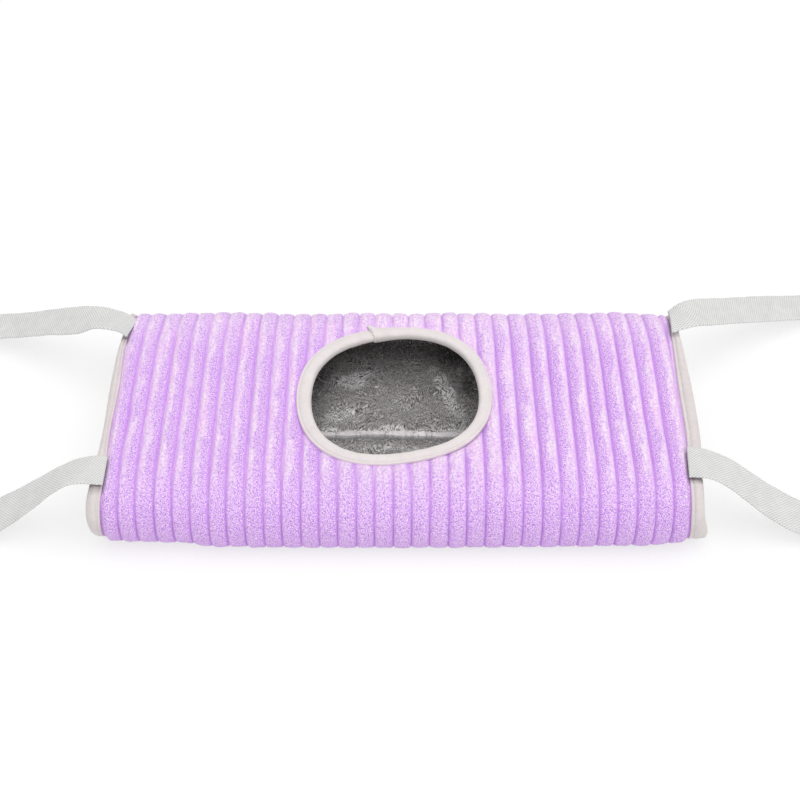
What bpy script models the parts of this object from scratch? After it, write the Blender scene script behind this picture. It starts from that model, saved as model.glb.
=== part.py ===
# Small pet hammock: a flattened tunnel of wide-rib corduroy with a round window in its top,
# a plush lining, bound edges, and four webbing straps that end in swivel bolt snaps.
# Metres, +X right, +Y back, +Z up. The origin is under the middle of the tunnel, on the
# surface that it rests on.

import math

import bmesh
import bpy
from mathutils import Matrix, Vector

# Gaps between neighbours
GAP = 0.0003
MERGE = 0.00001
OVERRUN = 0.003

# Tunnel: ribs run round it and repeat along X
RIB_PITCH = 0.009
RIB_COUNT = 32
RIB_HEIGHT = 0.0022
SHOULDER_SHARE = 0.28
SLEEVE_DEPTH = 0.150
SLEEVE_HEIGHT = 0.041
ARC_STEPS = 10
CLOTH = 0.001
WADDING = 0.002
PLUSH = 0.0018
HEM = 0.006

# Ridge where the lining's two ends are sewn together on the tunnel's floor
SEAM_BACK = 0.003
SEAM_RADIUS = 0.0012
SEAM_SIDES = 10

# Tape folded round the two open ends. The roll is read from the ribs' side to the inside:
# across shares are of the tape's width, through shares of its depth there.
TAPE = 0.0012
END_TAPE_OVERHANG = 0.0023
END_TAPE_INSIDE = 0.001
END_UPPER_SHARES = ((0.0, 1.0), (0.0, 0.33), (0.12, 0.05), (0.40, 0.0), (0.70, 0.30), (0.91, 1.0))
END_LOWER_SHARES = ((1.0, 0.48), (0.91, 0.79), (0.72, 0.96), (0.40, 1.0))
TAPE_EDGE_SHARE = 0.4

# Round window and the tape folded round its edge
WINDOW_RADIUS = 0.04275
WINDOW_BACK = 0.0017
WINDOW_TAPE_WIDTH = 0.00675
WINDOW_TAPE_WALL = 0.0020
WINDOW_TAPE_RISE = 0.0008
WINDOW_LEDGE = 0.0024
WINDOW_UPPER_SHARES = ((0.0, 1.0), (0.0, 0.48), (0.10, 0.13), (0.36, 0.0), (0.66, 0.08), (0.88, 0.48))
WINDOW_LOWER_SHARES = ((1.0, 0.32), (1.0, 0.73), (0.90, 0.93), (0.68, 1.0), (0.15, 1.0))
WINDOW_STEPS = 40

# Webbing straps, each folded back round its snap's eye
STRAP_WIDTH = 0.020
STRAP_THICKNESS = 0.0012
STRAP_RUN = 0.136
STRAP_RETURN = 0.018
STRAP_RISE = 0.0003
RETURN_SHARES = (0.5, 1.0)
FOLD_SLOPE_DEG = 20
FOLD_STEPS = 8

# Snap: eye and its swivel boss
SNAP_FLOOR_GAP = 0.0002
EYE_SLOT = 0.022
EYE_WIRE = 0.003
EYE_SIDE = 0.004
EYE_REACH = 0.0105
EYE_NOSE = 0.003
EYE_CORNER = 0.0025
BOSS_RADIUS = 0.0032
BOSS_LENGTH = 0.004

# Snap: body with its swivel stem, shank, hook and bolt barrel
STEM_RADIUS = 0.0016
HEAD_RADIUS = 0.0027
HEAD_LENGTH = 0.0015
COLLAR_LENGTH = 0.0025
SHANK_RADIUS = 0.0019
SHANK_OFFSET = 0.006
SHANK_SPREAD = 0.0052
SHANK_CORNER = 0.003
HOOK_STEPS = 10
BARREL_RADIUS = 0.003
BARREL_SET = 0.0017
BARREL_WALL = 0.0012
BARREL_RIM = 0.0015
ROUND_SIDES = 16

# Snap: sliding bolt, its thumb stud and its spring
BOLT_RADIUS = 0.00165
BOLT_TRAVEL = 0.006
STUD_RADIUS = 0.0008
STUD_SET = 0.0013
KNOB_RADIUS = 0.0016
KNOB_LENGTH = 0.0015
SPRING_WIRE = 0.0005
SPRING_PITCH = 0.00095
SPRING_TURNS = 3
SPRING_POINTS = 8

# How each strap leaves its corner and lies. side is -1 at the left. root_share places the
# root along the flat top, from the middle to its front or back edge. heading is the angle
# in degrees from straight out towards the back. pitch and roll, in degrees, are read at
# equal steps from the root to the fold; pitch is up and roll lifts the back edge.
STRAPS = {
    "front_left": {
        "side": -1,
        "root_share": -0.98,
        "heading": -2,
        "pitch": [14, -20, -38, -39, -36, -35, -28, -17, -5, 0, 0, 0, 0],
        "roll": [0, -7, -6, -2, 3, 8, 12, 12, 8, 4, 1, 0, 0],
    },
    "front_right": {
        "side": 1,
        "root_share": -0.88,
        "heading": -8,
        "pitch": [8, -22, -35, -38, -37, -31, -23, -15, -8, -4, -1, 0, 0],
        "roll": [0, -4, 0, 3, 6, 8, 8, 7, 5, 3, 1, 0, 0],
    },
    "rear_left": {
        "side": -1,
        "root_share": 0.94,
        "heading": 23,
        "pitch": [10, -12, -22, -25, -26, -26, -25, -22, -20, -18, -13, -4, 0],
        "roll": [-6, -7, -1, 3, 6, 8, 7, 6, 5, 3, 1, 0, 0],
    },
    "rear_right": {
        "side": 1,
        "root_share": 1.02,
        "heading": 29,
        "pitch": [6, -12, -21, -25, -23, -21, -20, -22, -23, -22, -17, -6, 0],
        "roll": [-6, -6, -1, 2, 5, 7, 8, 8, 7, 5, 2, 0, 0],
    },
}

# Range in which one factor on a strap's pitches is sought, so that it ends at its fold
PITCH_FACTORS = (0.0, 3.0)
HALVINGS = 40
SMOOTH_DEG = 40

# Sizes that follow
ARC_RADIUS = SLEEVE_HEIGHT / 2
FLAT_HALF = SLEEVE_DEPTH / 2 - ARC_RADIUS
RIBBED_HALF = RIB_PITCH * RIB_COUNT / 2
LAYER_HALF = RIBBED_HALF + HEM
SLEEVE_INSIDE = RIB_HEIGHT + CLOTH
WADDING_OUTSIDE = SLEEVE_INSIDE + GAP
WADDING_INSIDE = WADDING_OUTSIDE + WADDING
LINING_OUTSIDE = WADDING_INSIDE + GAP
LINING_INSIDE = LINING_OUTSIDE + PLUSH
TAPE_INSIDE = LINING_INSIDE + GAP + TAPE
HALF_STRAP = STRAP_WIDTH / 2
HALF_WEB = STRAP_THICKNESS / 2
LOOP_RADIUS = EYE_WIRE / 2 + GAP + HALF_WEB
SNAP_AXIS = BARREL_RADIUS + SNAP_FLOOR_GAP
RUN_END_HEIGHT = SNAP_AXIS - LOOP_RADIUS + STRAP_THICKNESS + GAP
ROOT_HEIGHT = SLEEVE_HEIGHT + GAP + HALF_WEB + STRAP_RISE
BOSS_START = EYE_REACH - BOSS_LENGTH / 2
BOSS_END = EYE_REACH + BOSS_LENGTH / 2
COLLAR_START = BOSS_END + GAP
COLLAR_END = COLLAR_START + COLLAR_LENGTH
BARREL_START = COLLAR_END + BARREL_SET
BORE_START = BARREL_START + BARREL_WALL
SPRING_LENGTH = SPRING_PITCH * SPRING_TURNS + SPRING_WIRE
BOLT_START = BORE_START + GAP + SPRING_LENGTH + GAP + BOLT_TRAVEL
STUD_PLACE = BOLT_START + STUD_SET
SLOT_START = STUD_PLACE - BOLT_TRAVEL - STUD_RADIUS - GAP
SLOT_END = STUD_PLACE + STUD_RADIUS + GAP
BARREL_END = SLOT_END + BARREL_RIM
HOOK_CENTRE = BARREL_END + BOLT_TRAVEL + GAP + GAP
BOLT_END = HOOK_CENTRE - GAP


def linear(red, green, blue):
    """Linear colour of an 8-bit display colour."""
    channels = []
    for value in (red, green, blue):
        share = value / 255
        channels.append(share / 12.92 if share <= 0.04045 else ((share + 0.055) / 1.055) ** 2.4)
    return (*channels, 1.0)


def make_material(name, colour, roughness, metallic=0.0):
    material = bpy.data.materials.new(name)
    material.use_nodes = True
    shader = material.node_tree.nodes["Principled BSDF"]
    shader.inputs["Base Color"].default_value = colour
    shader.inputs["Roughness"].default_value = roughness
    shader.inputs["Metallic"].default_value = metallic
    return material


def mesh_of(shape, name):
    """Finish a bmesh: faces outward, round stretches smooth."""
    bmesh.ops.remove_doubles(shape, verts=shape.verts, dist=MERGE)
    bmesh.ops.recalc_face_normals(shape, faces=shape.faces)
    mesh = bpy.data.meshes.new(name)
    shape.to_mesh(mesh)
    shape.free()
    mesh.shade_smooth()
    mesh.set_sharp_from_angle(angle=math.radians(SMOOTH_DEG))
    return mesh


def place(name, mesh, material, location=(0, 0, 0), turn=0.0, parent=None):
    """Add an object, turned about Z, at a place in its parent's frame."""
    item = bpy.data.objects.new(name, mesh)
    bpy.context.scene.collection.objects.link(item)
    item.location = location
    item.rotation_euler = (0, 0, turn)
    item.parent = parent
    if not item.data.materials:
        item.data.materials.append(material)
    return item


def hide_tool(item):
    item.hide_render = True
    item.display_type = "WIRE"
    return item


def add_boolean(item, tool, operation):
    modifier = item.modifiers.new(tool.name, "BOOLEAN")
    modifier.operation = operation
    modifier.solver = "EXACT"
    modifier.object = tool


def baked(item, name):
    """The mesh of an object with its modifiers, and the object gone."""
    view = bpy.context.evaluated_depsgraph_get()
    mesh = bpy.data.meshes.new_from_object(item.evaluated_get(view))
    mesh.name = name
    bpy.data.objects.remove(item)
    mesh.materials.clear()
    mesh.shade_smooth()
    mesh.set_sharp_from_angle(angle=math.radians(SMOOTH_DEG))
    return mesh


def closed_outline(shape, points):
    """Vertices and edges of a closed outline."""
    verts = [shape.verts.new(point) for point in points]
    edges = [shape.edges.new((verts[i - 1], verts[i])) for i in range(len(verts))]
    return verts + edges


def pull(shape, geometry, offset):
    """Extrude an outline by an offset and return its far end."""
    edges = [part for part in geometry if isinstance(part, bmesh.types.BMEdge)]
    result = bmesh.ops.extrude_edge_only(shape, edges=edges)["geom"]
    verts = [part for part in result if isinstance(part, bmesh.types.BMVert)]
    bmesh.ops.translate(shape, verts=verts, vec=offset)
    return [part for part in result if not isinstance(part, bmesh.types.BMFace)]


def half_turn(shape, geometry, centre_y):
    """Spin an outline half round the tunnel's front or back, towards the back and down."""
    spun = bmesh.ops.spin(
        shape,
        geom=geometry,
        cent=(0, centre_y, ARC_RADIUS),
        axis=(1, 0, 0),
        angle=-math.pi,
        steps=ARC_STEPS,
    )
    return spun["geom_last"]


def wrapped(name, outline):
    """A closed outline of (x, depth under the rib tops) carried once round the tunnel."""
    shape = bmesh.new()
    top = [(x, FLAT_HALF, SLEEVE_HEIGHT - depth) for x, depth in outline]
    ring = closed_outline(shape, top)
    ring = half_turn(shape, ring, FLAT_HALF)
    ring = pull(shape, ring, (0, -2 * FLAT_HALF, 0))
    ring = half_turn(shape, ring, -FLAT_HALF)
    pull(shape, ring, (0, 2 * FLAT_HALF, 0))
    return mesh_of(shape, name)


def turned(name, outline, centre, axis, steps):
    """A closed outline of points spun once round an axis."""
    shape = bmesh.new()
    ring = closed_outline(shape, outline)
    bmesh.ops.spin(shape, geom=ring, cent=centre, axis=axis, angle=2 * math.pi, steps=steps)
    return mesh_of(shape, name)


def rod(name, radius, start, end, sides=ROUND_SIDES):
    """A capped cylinder between two points."""
    start, end = Vector(start), Vector(end)
    along = end - start
    turn = along.to_track_quat("Z", "Y").to_matrix().to_4x4()
    matrix = Matrix.Translation((start + end) / 2) @ turn
    shape = bmesh.new()
    bmesh.ops.create_cone(
        shape,
        cap_ends=True,
        segments=sides,
        radius1=radius,
        radius2=radius,
        depth=along.length,
        matrix=matrix,
    )
    return mesh_of(shape, name)


def block(name, low, high):
    """A box between two corners."""
    low, high = Vector(low), Vector(high)
    size = high - low
    shape = bmesh.new()
    bmesh.ops.create_cube(shape, size=1)
    bmesh.ops.scale(shape, vec=size, verts=shape.verts)
    bmesh.ops.translate(shape, vec=(low + high) / 2, verts=shape.verts)
    return mesh_of(shape, name)


def tube(name, points, radius, closed, resolution=2):
    """A round tube along points, with its ends filled unless it is closed."""
    curve = bpy.data.curves.new(name, "CURVE")
    curve.dimensions = "3D"
    curve.bevel_depth = radius
    curve.bevel_resolution = resolution
    curve.use_fill_caps = not closed
    spline = curve.splines.new("POLY")
    spline.points.add(len(points) - 1)
    for place_on, point in zip(spline.points, points):
        place_on.co = (*point, 1)
    spline.use_cyclic_u = closed
    item = bpy.data.objects.new(name, curve)
    bpy.context.scene.collection.objects.link(item)
    mesh = baked(item, name)
    shape = bmesh.new()
    shape.from_mesh(mesh)
    bpy.data.meshes.remove(mesh)
    return mesh_of(shape, name)


def rounded(corners, radius, closed, steps=4):
    """A path through corners, each cut by the radius and bent as a quadratic curve."""
    path = []
    count = len(corners)
    for index, corner in enumerate(corners):
        corner = Vector(corner)
        if not closed and index in (0, count - 1):
            path.append(corner)
            continue
        before = Vector(corners[index - 1]) - corner
        after = Vector(corners[(index + 1) % count]) - corner
        first = corner + before.normalized() * min(radius, before.length / 2)
        last = corner + after.normalized() * min(radius, after.length / 2)
        for step in range(steps + 1):
            share = step / steps
            inward = first.lerp(corner, share)
            outward = corner.lerp(last, share)
            path.append(inward.lerp(outward, share))
    return path


def combined(name, first, others, cutters):
    """One mesh: the first with others joined on, then cutters taken away."""
    item = bpy.data.objects.new(name, first)
    bpy.context.scene.collection.objects.link(item)
    tools = []
    for operation, meshes in (("UNION", others), ("DIFFERENCE", cutters)):
        for mesh in meshes:
            tool = bpy.data.objects.new(mesh.name, mesh)
            bpy.context.scene.collection.objects.link(tool)
            hide_tool(tool)
            add_boolean(item, tool, operation)
            tools.append(tool)
    mesh = baked(item, name)
    for tool in tools:
        bpy.data.objects.remove(tool)
    return mesh


def corduroy_outline():
    """Rib tops and grooves outside, one flat face inside, plain hems at both ends."""
    outline = [(-LAYER_HALF, SLEEVE_INSIDE), (-LAYER_HALF, RIB_HEIGHT)]
    for rib in range(RIB_COUNT):
        left = rib * RIB_PITCH - RIBBED_HALF
        outline.append((left, RIB_HEIGHT))
        outline.append((left + SHOULDER_SHARE * RIB_PITCH, 0))
        outline.append((left + RIB_PITCH - SHOULDER_SHARE * RIB_PITCH, 0))
    outline.append((RIBBED_HALF, RIB_HEIGHT))
    outline.append((LAYER_HALF, RIB_HEIGHT))
    outline.append((LAYER_HALF, SLEEVE_INSIDE))
    return outline


def layer_outline(outside, inside):
    return [
        (-LAYER_HALF, inside),
        (-LAYER_HALF, outside),
        (LAYER_HALF, outside),
        (LAYER_HALF, inside),
    ]


def end_tape_outline(side):
    """Tape folded over the layers' ends: rolled outside, thin inside."""
    start = RIBBED_HALF + GAP
    wall = LAYER_HALF + GAP
    width = LAYER_HALF + END_TAPE_OVERHANG - start
    outside = RIB_HEIGHT - GAP
    inside = LINING_INSIDE + GAP
    inner_start = RIBBED_HALF - END_TAPE_INSIDE
    edge = TAPE * TAPE_EDGE_SHARE
    outline = [(start + width * across, outside * deep) for across, deep in END_UPPER_SHARES]
    outline += [(start + width * across, TAPE_INSIDE * deep) for across, deep in END_LOWER_SHARES]
    outline += [
        (inner_start + edge, TAPE_INSIDE),
        (inner_start, TAPE_INSIDE - edge),
        (inner_start, inside),
        (wall, inside),
        (wall, outside),
    ]
    return [(side * x, depth) for x, depth in outline]


def window_tape_outline():
    """Tape folded round the window's edge, as (radius, depth)."""
    outer = WINDOW_RADIUS + WINDOW_TAPE_WIDTH
    wall = WINDOW_RADIUS + WINDOW_TAPE_WALL
    width = WINDOW_TAPE_WIDTH
    top = -WINDOW_TAPE_RISE
    above = WINDOW_LEDGE - GAP
    below = LINING_INSIDE + GAP
    edge = TAPE * TAPE_EDGE_SHARE
    outline = [
        (outer - width * inward, top + (above - top) * deep) for inward, deep in WINDOW_UPPER_SHARES
    ]
    outline += [(outer - width * inward, TAPE_INSIDE * deep) for inward, deep in WINDOW_LOWER_SHARES]
    last_radius = outline[-1][0]
    outline += [
        (last_radius + edge, TAPE_INSIDE - edge),
        (last_radius + edge, below),
        (wall, below),
        (wall, above),
    ]
    return outline


def make_window_tools(material):
    """The hole through the top's layers, and the ledge where the ribs are sewn flat."""
    centre = (0, WINDOW_BACK)
    top = SLEEVE_HEIGHT + OVERRUN
    ledge = SLEEVE_HEIGHT - WINDOW_LEDGE
    hole_radius = WINDOW_RADIUS + WINDOW_TAPE_WALL + GAP
    ledge_radius = WINDOW_RADIUS + WINDOW_TAPE_WIDTH + GAP
    hole = rod("window_hole", hole_radius, (*centre, ARC_RADIUS), (*centre, top), WINDOW_STEPS)
    sunk = rod("window_ledge", ledge_radius, (*centre, ledge), (*centre, top), WINDOW_STEPS)
    return [hide_tool(place(mesh.name, mesh, material)) for mesh in (hole, sunk)]


def make_sleeve_pieces(materials):
    hole, ledge = make_window_tools(materials["tape"])
    sleeve_mesh = wrapped("outer_sleeve", corduroy_outline())
    sleeve = place("outer_sleeve", sleeve_mesh, materials["corduroy"])
    add_boolean(sleeve, ledge, "DIFFERENCE")
    add_boolean(sleeve, hole, "DIFFERENCE")

    wadding_mesh = wrapped("wadding", layer_outline(WADDING_OUTSIDE, WADDING_INSIDE))
    wadding = place("wadding", wadding_mesh, materials["wadding"])
    add_boolean(wadding, hole, "DIFFERENCE")

    lining_mesh = wrapped("lining_sleeve", layer_outline(LINING_OUTSIDE, LINING_INSIDE))
    lining = place("lining_sleeve", lining_mesh, materials["plush"])
    add_boolean(lining, hole, "DIFFERENCE")
    reach = RIBBED_HALF - END_TAPE_INSIDE - GAP
    left = (-reach, SEAM_BACK, LINING_INSIDE)
    right = (reach, SEAM_BACK, LINING_INSIDE)
    ridge_mesh = rod("lining_ridge", SEAM_RADIUS, left, right, SEAM_SIDES)
    ridge = hide_tool(place("lining_ridge", ridge_mesh, materials["plush"]))
    add_boolean(lining, ridge, "UNION")


def make_tapes(materials):
    for name, side in (("left_end_binding", -1), ("right_end_binding", 1)):
        place(name, wrapped(name, end_tape_outline(side)), materials["tape"])
    outline = [
        (radius, WINDOW_BACK, SLEEVE_HEIGHT - depth) for radius, depth in window_tape_outline()
    ]
    centre = (0, WINDOW_BACK, 0)
    ring = turned("window_binding", outline, centre, (0, 0, 1), WINDOW_STEPS)
    place("window_binding", ring, materials["tape"])


def drop_of(pitches, factor, step):
    """Height gained along a run whose pitches are all scaled by a factor."""
    height = 0
    for first, last in zip(pitches, pitches[1:]):
        height += step * math.sin(math.radians((first + last) / 2) * factor)
    return height


def pitch_factor(pitches, step, wanted):
    """The factor that brings the run's end to the wanted height, by halving."""
    low, high = PITCH_FACTORS
    for _ in range(HALVINGS):
        middle = (low + high) / 2
        if drop_of(pitches, middle, step) > wanted:
            low = middle
        else:
            high = middle
    return (low + high) / 2


class StrapRoute:
    """Centre line of a strap from its root to the end of its fold, with the strap's frames."""

    def __init__(self, style):
        heading = math.radians(style["heading"])
        side = style["side"]
        self.out = Vector((side * math.cos(heading), math.sin(heading), 0))
        self.across = Vector((-side * math.sin(heading), math.cos(heading), 0))
        self.up = Vector((0, 0, 1))
        root_x = side * (RIBBED_HALF + GAP)
        self.root = Vector((root_x, style["root_share"] * FLAT_HALF, ROOT_HEIGHT))
        self.skew = math.tan(heading)
        self.frames = []
        self.add_run(style["pitch"], style["roll"])
        self.add_fold()

    def add_frame(self, point, pitch, roll, skew=0.0):
        normal = self.up * math.cos(pitch) - self.out * math.sin(pitch)
        wide = self.across * math.cos(roll) + normal * math.sin(roll) + self.out * skew
        thick = normal * math.cos(roll) - self.across * math.sin(roll)
        self.frames.append((point, wide, thick))

    def add_run(self, pitches, rolls):
        step = STRAP_RUN / (len(pitches) - 1)
        factor = pitch_factor(pitches, step, RUN_END_HEIGHT - ROOT_HEIGHT)
        point = self.root.copy()
        for index, (pitch, roll) in enumerate(zip(pitches, rolls)):
            bend = math.radians(pitch) * factor
            tilt = math.radians(roll)
            self.add_frame(point.copy(), bend, tilt, self.skew if index == 0 else 0.0)
            if index + 1 < len(pitches):
                middle = math.radians((pitch + pitches[index + 1]) / 2) * factor
                point += (self.out * math.cos(middle) + self.up * math.sin(middle)) * step
        self.run_end = point

    def add_fold(self):
        slope = math.radians(FOLD_SLOPE_DEG)
        touch_height = SNAP_AXIS + LOOP_RADIUS * math.cos(slope)
        climb = (touch_height - RUN_END_HEIGHT) / math.tan(slope)
        self.eye = self.run_end + self.out * (climb + LOOP_RADIUS * math.sin(slope))
        self.eye.z = SNAP_AXIS
        turn = math.pi + slope
        for step in range(FOLD_STEPS + 1):
            pitch = slope - turn * step / FOLD_STEPS
            outward = self.up * math.cos(pitch) - self.out * math.sin(pitch)
            self.add_frame(self.eye + outward * LOOP_RADIUS, pitch, 0.0)
        for share in RETURN_SHARES:
            inward = self.out * (-STRAP_RETURN * share)
            self.add_frame(self.eye - self.up * LOOP_RADIUS + inward, -math.pi, 0.0)


def strap_mesh(name, route):
    """A webbing strip: a thin oblong carried along the route, in the root's frame."""
    shape = bmesh.new()
    rings = []
    for point, wide, thick in route.frames:
        centre = point - route.root
        corners = []
        for across, through in ((1, 1), (-1, 1), (-1, -1), (1, -1)):
            offset = wide * (across * HALF_STRAP) + thick * (through * HALF_WEB)
            corners.append(shape.verts.new(centre + offset))
        rings.append(corners)
    for first, last in zip(rings, rings[1:]):
        for index in range(4):
            following = (index + 1) % 4
            shape.faces.new((first[index], first[following], last[following], last[index]))
    shape.faces.new(rings[0])
    shape.faces.new(rings[-1])
    return mesh_of(shape, name)


def eye_mesh():
    """A loop for the strap that narrows to a bored swivel boss."""
    half = (EYE_SLOT + EYE_WIRE) / 2
    corners = [
        (0, -half, 0),
        (0, half, 0),
        (EYE_SIDE, half, 0),
        (EYE_REACH, EYE_NOSE, 0),
        (EYE_REACH, -EYE_NOSE, 0),
        (EYE_SIDE, -half, 0),
    ]
    loop = tube("eye_loop", rounded(corners, EYE_CORNER, True), EYE_WIRE / 2, True)
    boss = rod("eye_boss", BOSS_RADIUS, (BOSS_START, 0, 0), (BOSS_END, 0, 0))
    bore_start = (BOSS_START - OVERRUN, 0, 0)
    bore = rod("eye_bore", STEM_RADIUS + GAP, bore_start, (BOSS_END + OVERRUN, 0, 0))
    return combined("snap_eye", loop, [boss], [bore])


def snap_body_mesh():
    """Swivel stem, a shank that ends in the hook, and the barrel beside it."""
    head_start = BOSS_START - GAP - HEAD_LENGTH
    neck = COLLAR_END - COLLAR_LENGTH / 2
    head = rod("snap_head", HEAD_RADIUS, (head_start, 0, 0), (head_start + HEAD_LENGTH, 0, 0))
    stem = rod("snap_stem", STEM_RADIUS, (head_start + HEAD_LENGTH / 2, 0, 0), (neck, 0, 0))
    collar = rod("snap_collar", HEAD_RADIUS, (COLLAR_START, 0, 0), (COLLAR_END, 0, 0))
    corners = [
        (neck, 0, 0),
        (neck + SHANK_SPREAD, SHANK_OFFSET, 0),
        (HOOK_CENTRE, SHANK_OFFSET, 0),
    ]
    path = rounded(corners, SHANK_CORNER, False)
    for step in range(1, HOOK_STEPS + 1):
        angle = math.pi / 2 - math.pi * step / HOOK_STEPS
        out = HOOK_CENTRE + SHANK_OFFSET * math.cos(angle)
        path.append(Vector((out, SHANK_OFFSET * math.sin(angle), 0)))
    hook = tube("snap_hook", path, SHANK_RADIUS, False)
    arm_end = (BARREL_START + BARREL_WALL, -SHANK_OFFSET, 0)
    arm = rod("snap_arm", SHANK_RADIUS, (neck, 0, 0), arm_end)
    barrel_start = (BARREL_START, -SHANK_OFFSET, 0)
    barrel = rod("snap_barrel", BARREL_RADIUS, barrel_start, (BARREL_END, -SHANK_OFFSET, 0))
    bore_end = (BARREL_END + GAP, -SHANK_OFFSET, 0)
    bore = rod("snap_bore", BOLT_RADIUS + GAP, (BORE_START, -SHANK_OFFSET, 0), bore_end)
    slot_half = STUD_RADIUS + GAP
    slot_low = (SLOT_START, -SHANK_OFFSET - BARREL_RADIUS - OVERRUN, -slot_half)
    slot = block("snap_slot", slot_low, (SLOT_END, -SHANK_OFFSET, slot_half))
    return combined("snap_body", hook, [collar, stem, head, arm, barrel], [bore, slot])


def bolt_mesh():
    """Sliding bolt and thumb stud, from the bolt's inner end."""
    pin = rod("bolt_pin", BOLT_RADIUS, (0, 0, 0), (BOLT_END - BOLT_START, 0, 0))
    under_knob = BARREL_RADIUS + GAP
    stud = rod("bolt_stud", STUD_RADIUS, (STUD_SET, 0, 0), (STUD_SET, -under_knob - GAP, 0))
    knob_end = (STUD_SET, -under_knob - KNOB_LENGTH, 0)
    knob = rod("bolt_knob", KNOB_RADIUS, (STUD_SET, -under_knob, 0), knob_end)
    return combined("snap_bolt", pin, [stud, knob], [])


def spring_mesh():
    """The bolt's spring at its pushed-in length, behind the bolt's inner end."""
    mean_radius = BOLT_RADIUS - SPRING_WIRE
    start = -GAP - SPRING_WIRE / 2 - SPRING_PITCH * SPRING_TURNS
    points = []
    for index in range(SPRING_TURNS * SPRING_POINTS + 1):
        turns = index / SPRING_POINTS
        angle = 2 * math.pi * turns
        along = start + SPRING_PITCH * turns
        points.append((along, mean_radius * math.cos(angle), mean_radius * math.sin(angle)))
    return tube("snap_spring", points, SPRING_WIRE / 2, False, 1)


def make_straps(materials):
    eye = eye_mesh()
    body = snap_body_mesh()
    bolt = bolt_mesh()
    spring = spring_mesh()
    for corner, style in STRAPS.items():
        route = StrapRoute(style)
        name = corner + "_strap"
        strap = place(name, strap_mesh(name, route), materials["webbing"], route.root)
        turn = math.atan2(route.out.y, route.out.x)
        eye_place = route.eye - route.root
        eye_item = place(corner + "_snap_eye", eye, materials["metal"], eye_place, turn, strap)
        body_item = place(corner + "_snap_body", body, materials["metal"], parent=eye_item)
        bolt_place = (BOLT_START, -SHANK_OFFSET, 0)
        bolt_name = corner + "_snap_bolt"
        bolt_item = place(bolt_name, bolt, materials["metal"], bolt_place, parent=body_item)
        place(corner + "_snap_spring", spring, materials["steel"], parent=bolt_item)


def main():
    for item in list(bpy.data.objects):
        bpy.data.objects.remove(item)
    materials = {
        "corduroy": make_material("lilac_corduroy", linear(216, 176, 240), 0.85),
        "wadding": make_material("wadding", linear(235, 235, 235), 0.95),
        "plush": make_material("grey_plush", linear(104, 104, 108), 0.95),
        "tape": make_material("grey_tape", linear(224, 216, 213), 0.8),
        "webbing": make_material("grey_webbing", linear(214, 217, 212), 0.75),
        "metal": make_material("nickel_plate", linear(205, 203, 198), 0.25, 1.0),
        "steel": make_material("spring_steel", linear(170, 172, 176), 0.3, 1.0),
    }
    make_sleeve_pieces(materials)
    make_tapes(materials)
    make_straps(materials)
    bpy.context.view_layer.update()


main()
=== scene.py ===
"""Small pet hammock: its cloth, tapes, webbing and snaps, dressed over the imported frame.

Lengths are metres, +X right, +Y back, +Z up, as in the frame. The tunnel's section is a
flattened ring: a flat top and bottom joined by half circles at the front and back. A place
on it is given by x, by the travel round the ring from the middle of its underside towards
the front, and by the depth under the rib tops.
"""

import functools
import math

import bpy
import numpy as np
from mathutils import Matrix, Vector


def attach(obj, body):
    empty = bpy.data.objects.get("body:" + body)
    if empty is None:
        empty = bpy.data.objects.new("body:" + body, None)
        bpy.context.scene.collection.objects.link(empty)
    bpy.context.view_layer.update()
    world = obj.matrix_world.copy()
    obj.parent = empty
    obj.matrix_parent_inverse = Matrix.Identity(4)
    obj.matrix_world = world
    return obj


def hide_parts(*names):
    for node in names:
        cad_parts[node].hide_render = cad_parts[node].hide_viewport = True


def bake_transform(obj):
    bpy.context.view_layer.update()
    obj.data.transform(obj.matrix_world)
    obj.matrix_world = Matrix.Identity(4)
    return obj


bl_info = {
    "name": "Small Pet Hammock",
    "version": (1, 0, 0),
    "blender": (4, 5, 0),
    "location": "3D View > Sidebar > Hammock",
    "description": "Cloth, tapes, webbing and snaps of a small ribbed pet hammock",
    "category": "Add Mesh",
}

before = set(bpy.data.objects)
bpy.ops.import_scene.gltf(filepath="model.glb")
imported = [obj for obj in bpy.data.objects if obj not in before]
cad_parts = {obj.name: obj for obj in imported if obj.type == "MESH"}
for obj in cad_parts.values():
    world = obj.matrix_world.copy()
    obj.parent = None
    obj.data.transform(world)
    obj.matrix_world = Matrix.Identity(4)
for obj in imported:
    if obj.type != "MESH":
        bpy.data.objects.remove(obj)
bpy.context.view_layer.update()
CORNERS = ("front_left", "front_right", "rear_left", "rear_right")

# Ring section, ribs and layers
FLAT_HALF = 0.0545
ARC_RADIUS = 0.0205
RIB_PITCH = 0.009
RIB_COUNT = 32

# Places round the ring, measured from the middle of the underside
FRONT_LOW = FLAT_HALF
FRONT_HIGH = FLAT_HALF + math.pi * ARC_RADIUS
TOP_MIDDLE = FRONT_HIGH + FLAT_HALF
BACK_HIGH = TOP_MIDDLE + FLAT_HALF
BACK_LOW = BACK_HIGH + math.pi * ARC_RADIUS
RING_LENGTH = BACK_LOW + FLAT_HALF

# How far the grooves drift from even spacing, at shares of the way from left to right. They
# lean left, most past the middle and more at the back; single grooves waver a little besides
DRIFT_SHARES = (0, 0.25, 0.5, 0.65, 0.9, 1)
FRONT_DRIFT = (0.0010, -0.0009, -0.0013, -0.0017, -0.0008, -0.0009)
BACK_DRIFT = (0.0009, -0.0014, -0.0023, -0.0024, -0.0012, -0.0003)
GROOVE_WAVER = 0.0002
WAVER_TURN = 2.4

# Share by which the ribs draw together where they turn down the back
BACK_DRAW = 0.012

# How strongly grid columns crowd to the grooves, and how far they reach under the end tapes
GROOVE_CROWDING = 0.07
CORDUROY_TUCK = 0.0018

# x of the middle line where the ribs' painted sheen and painted shade swap sides
SHEEN_SWAP_X = 0.012

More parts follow.
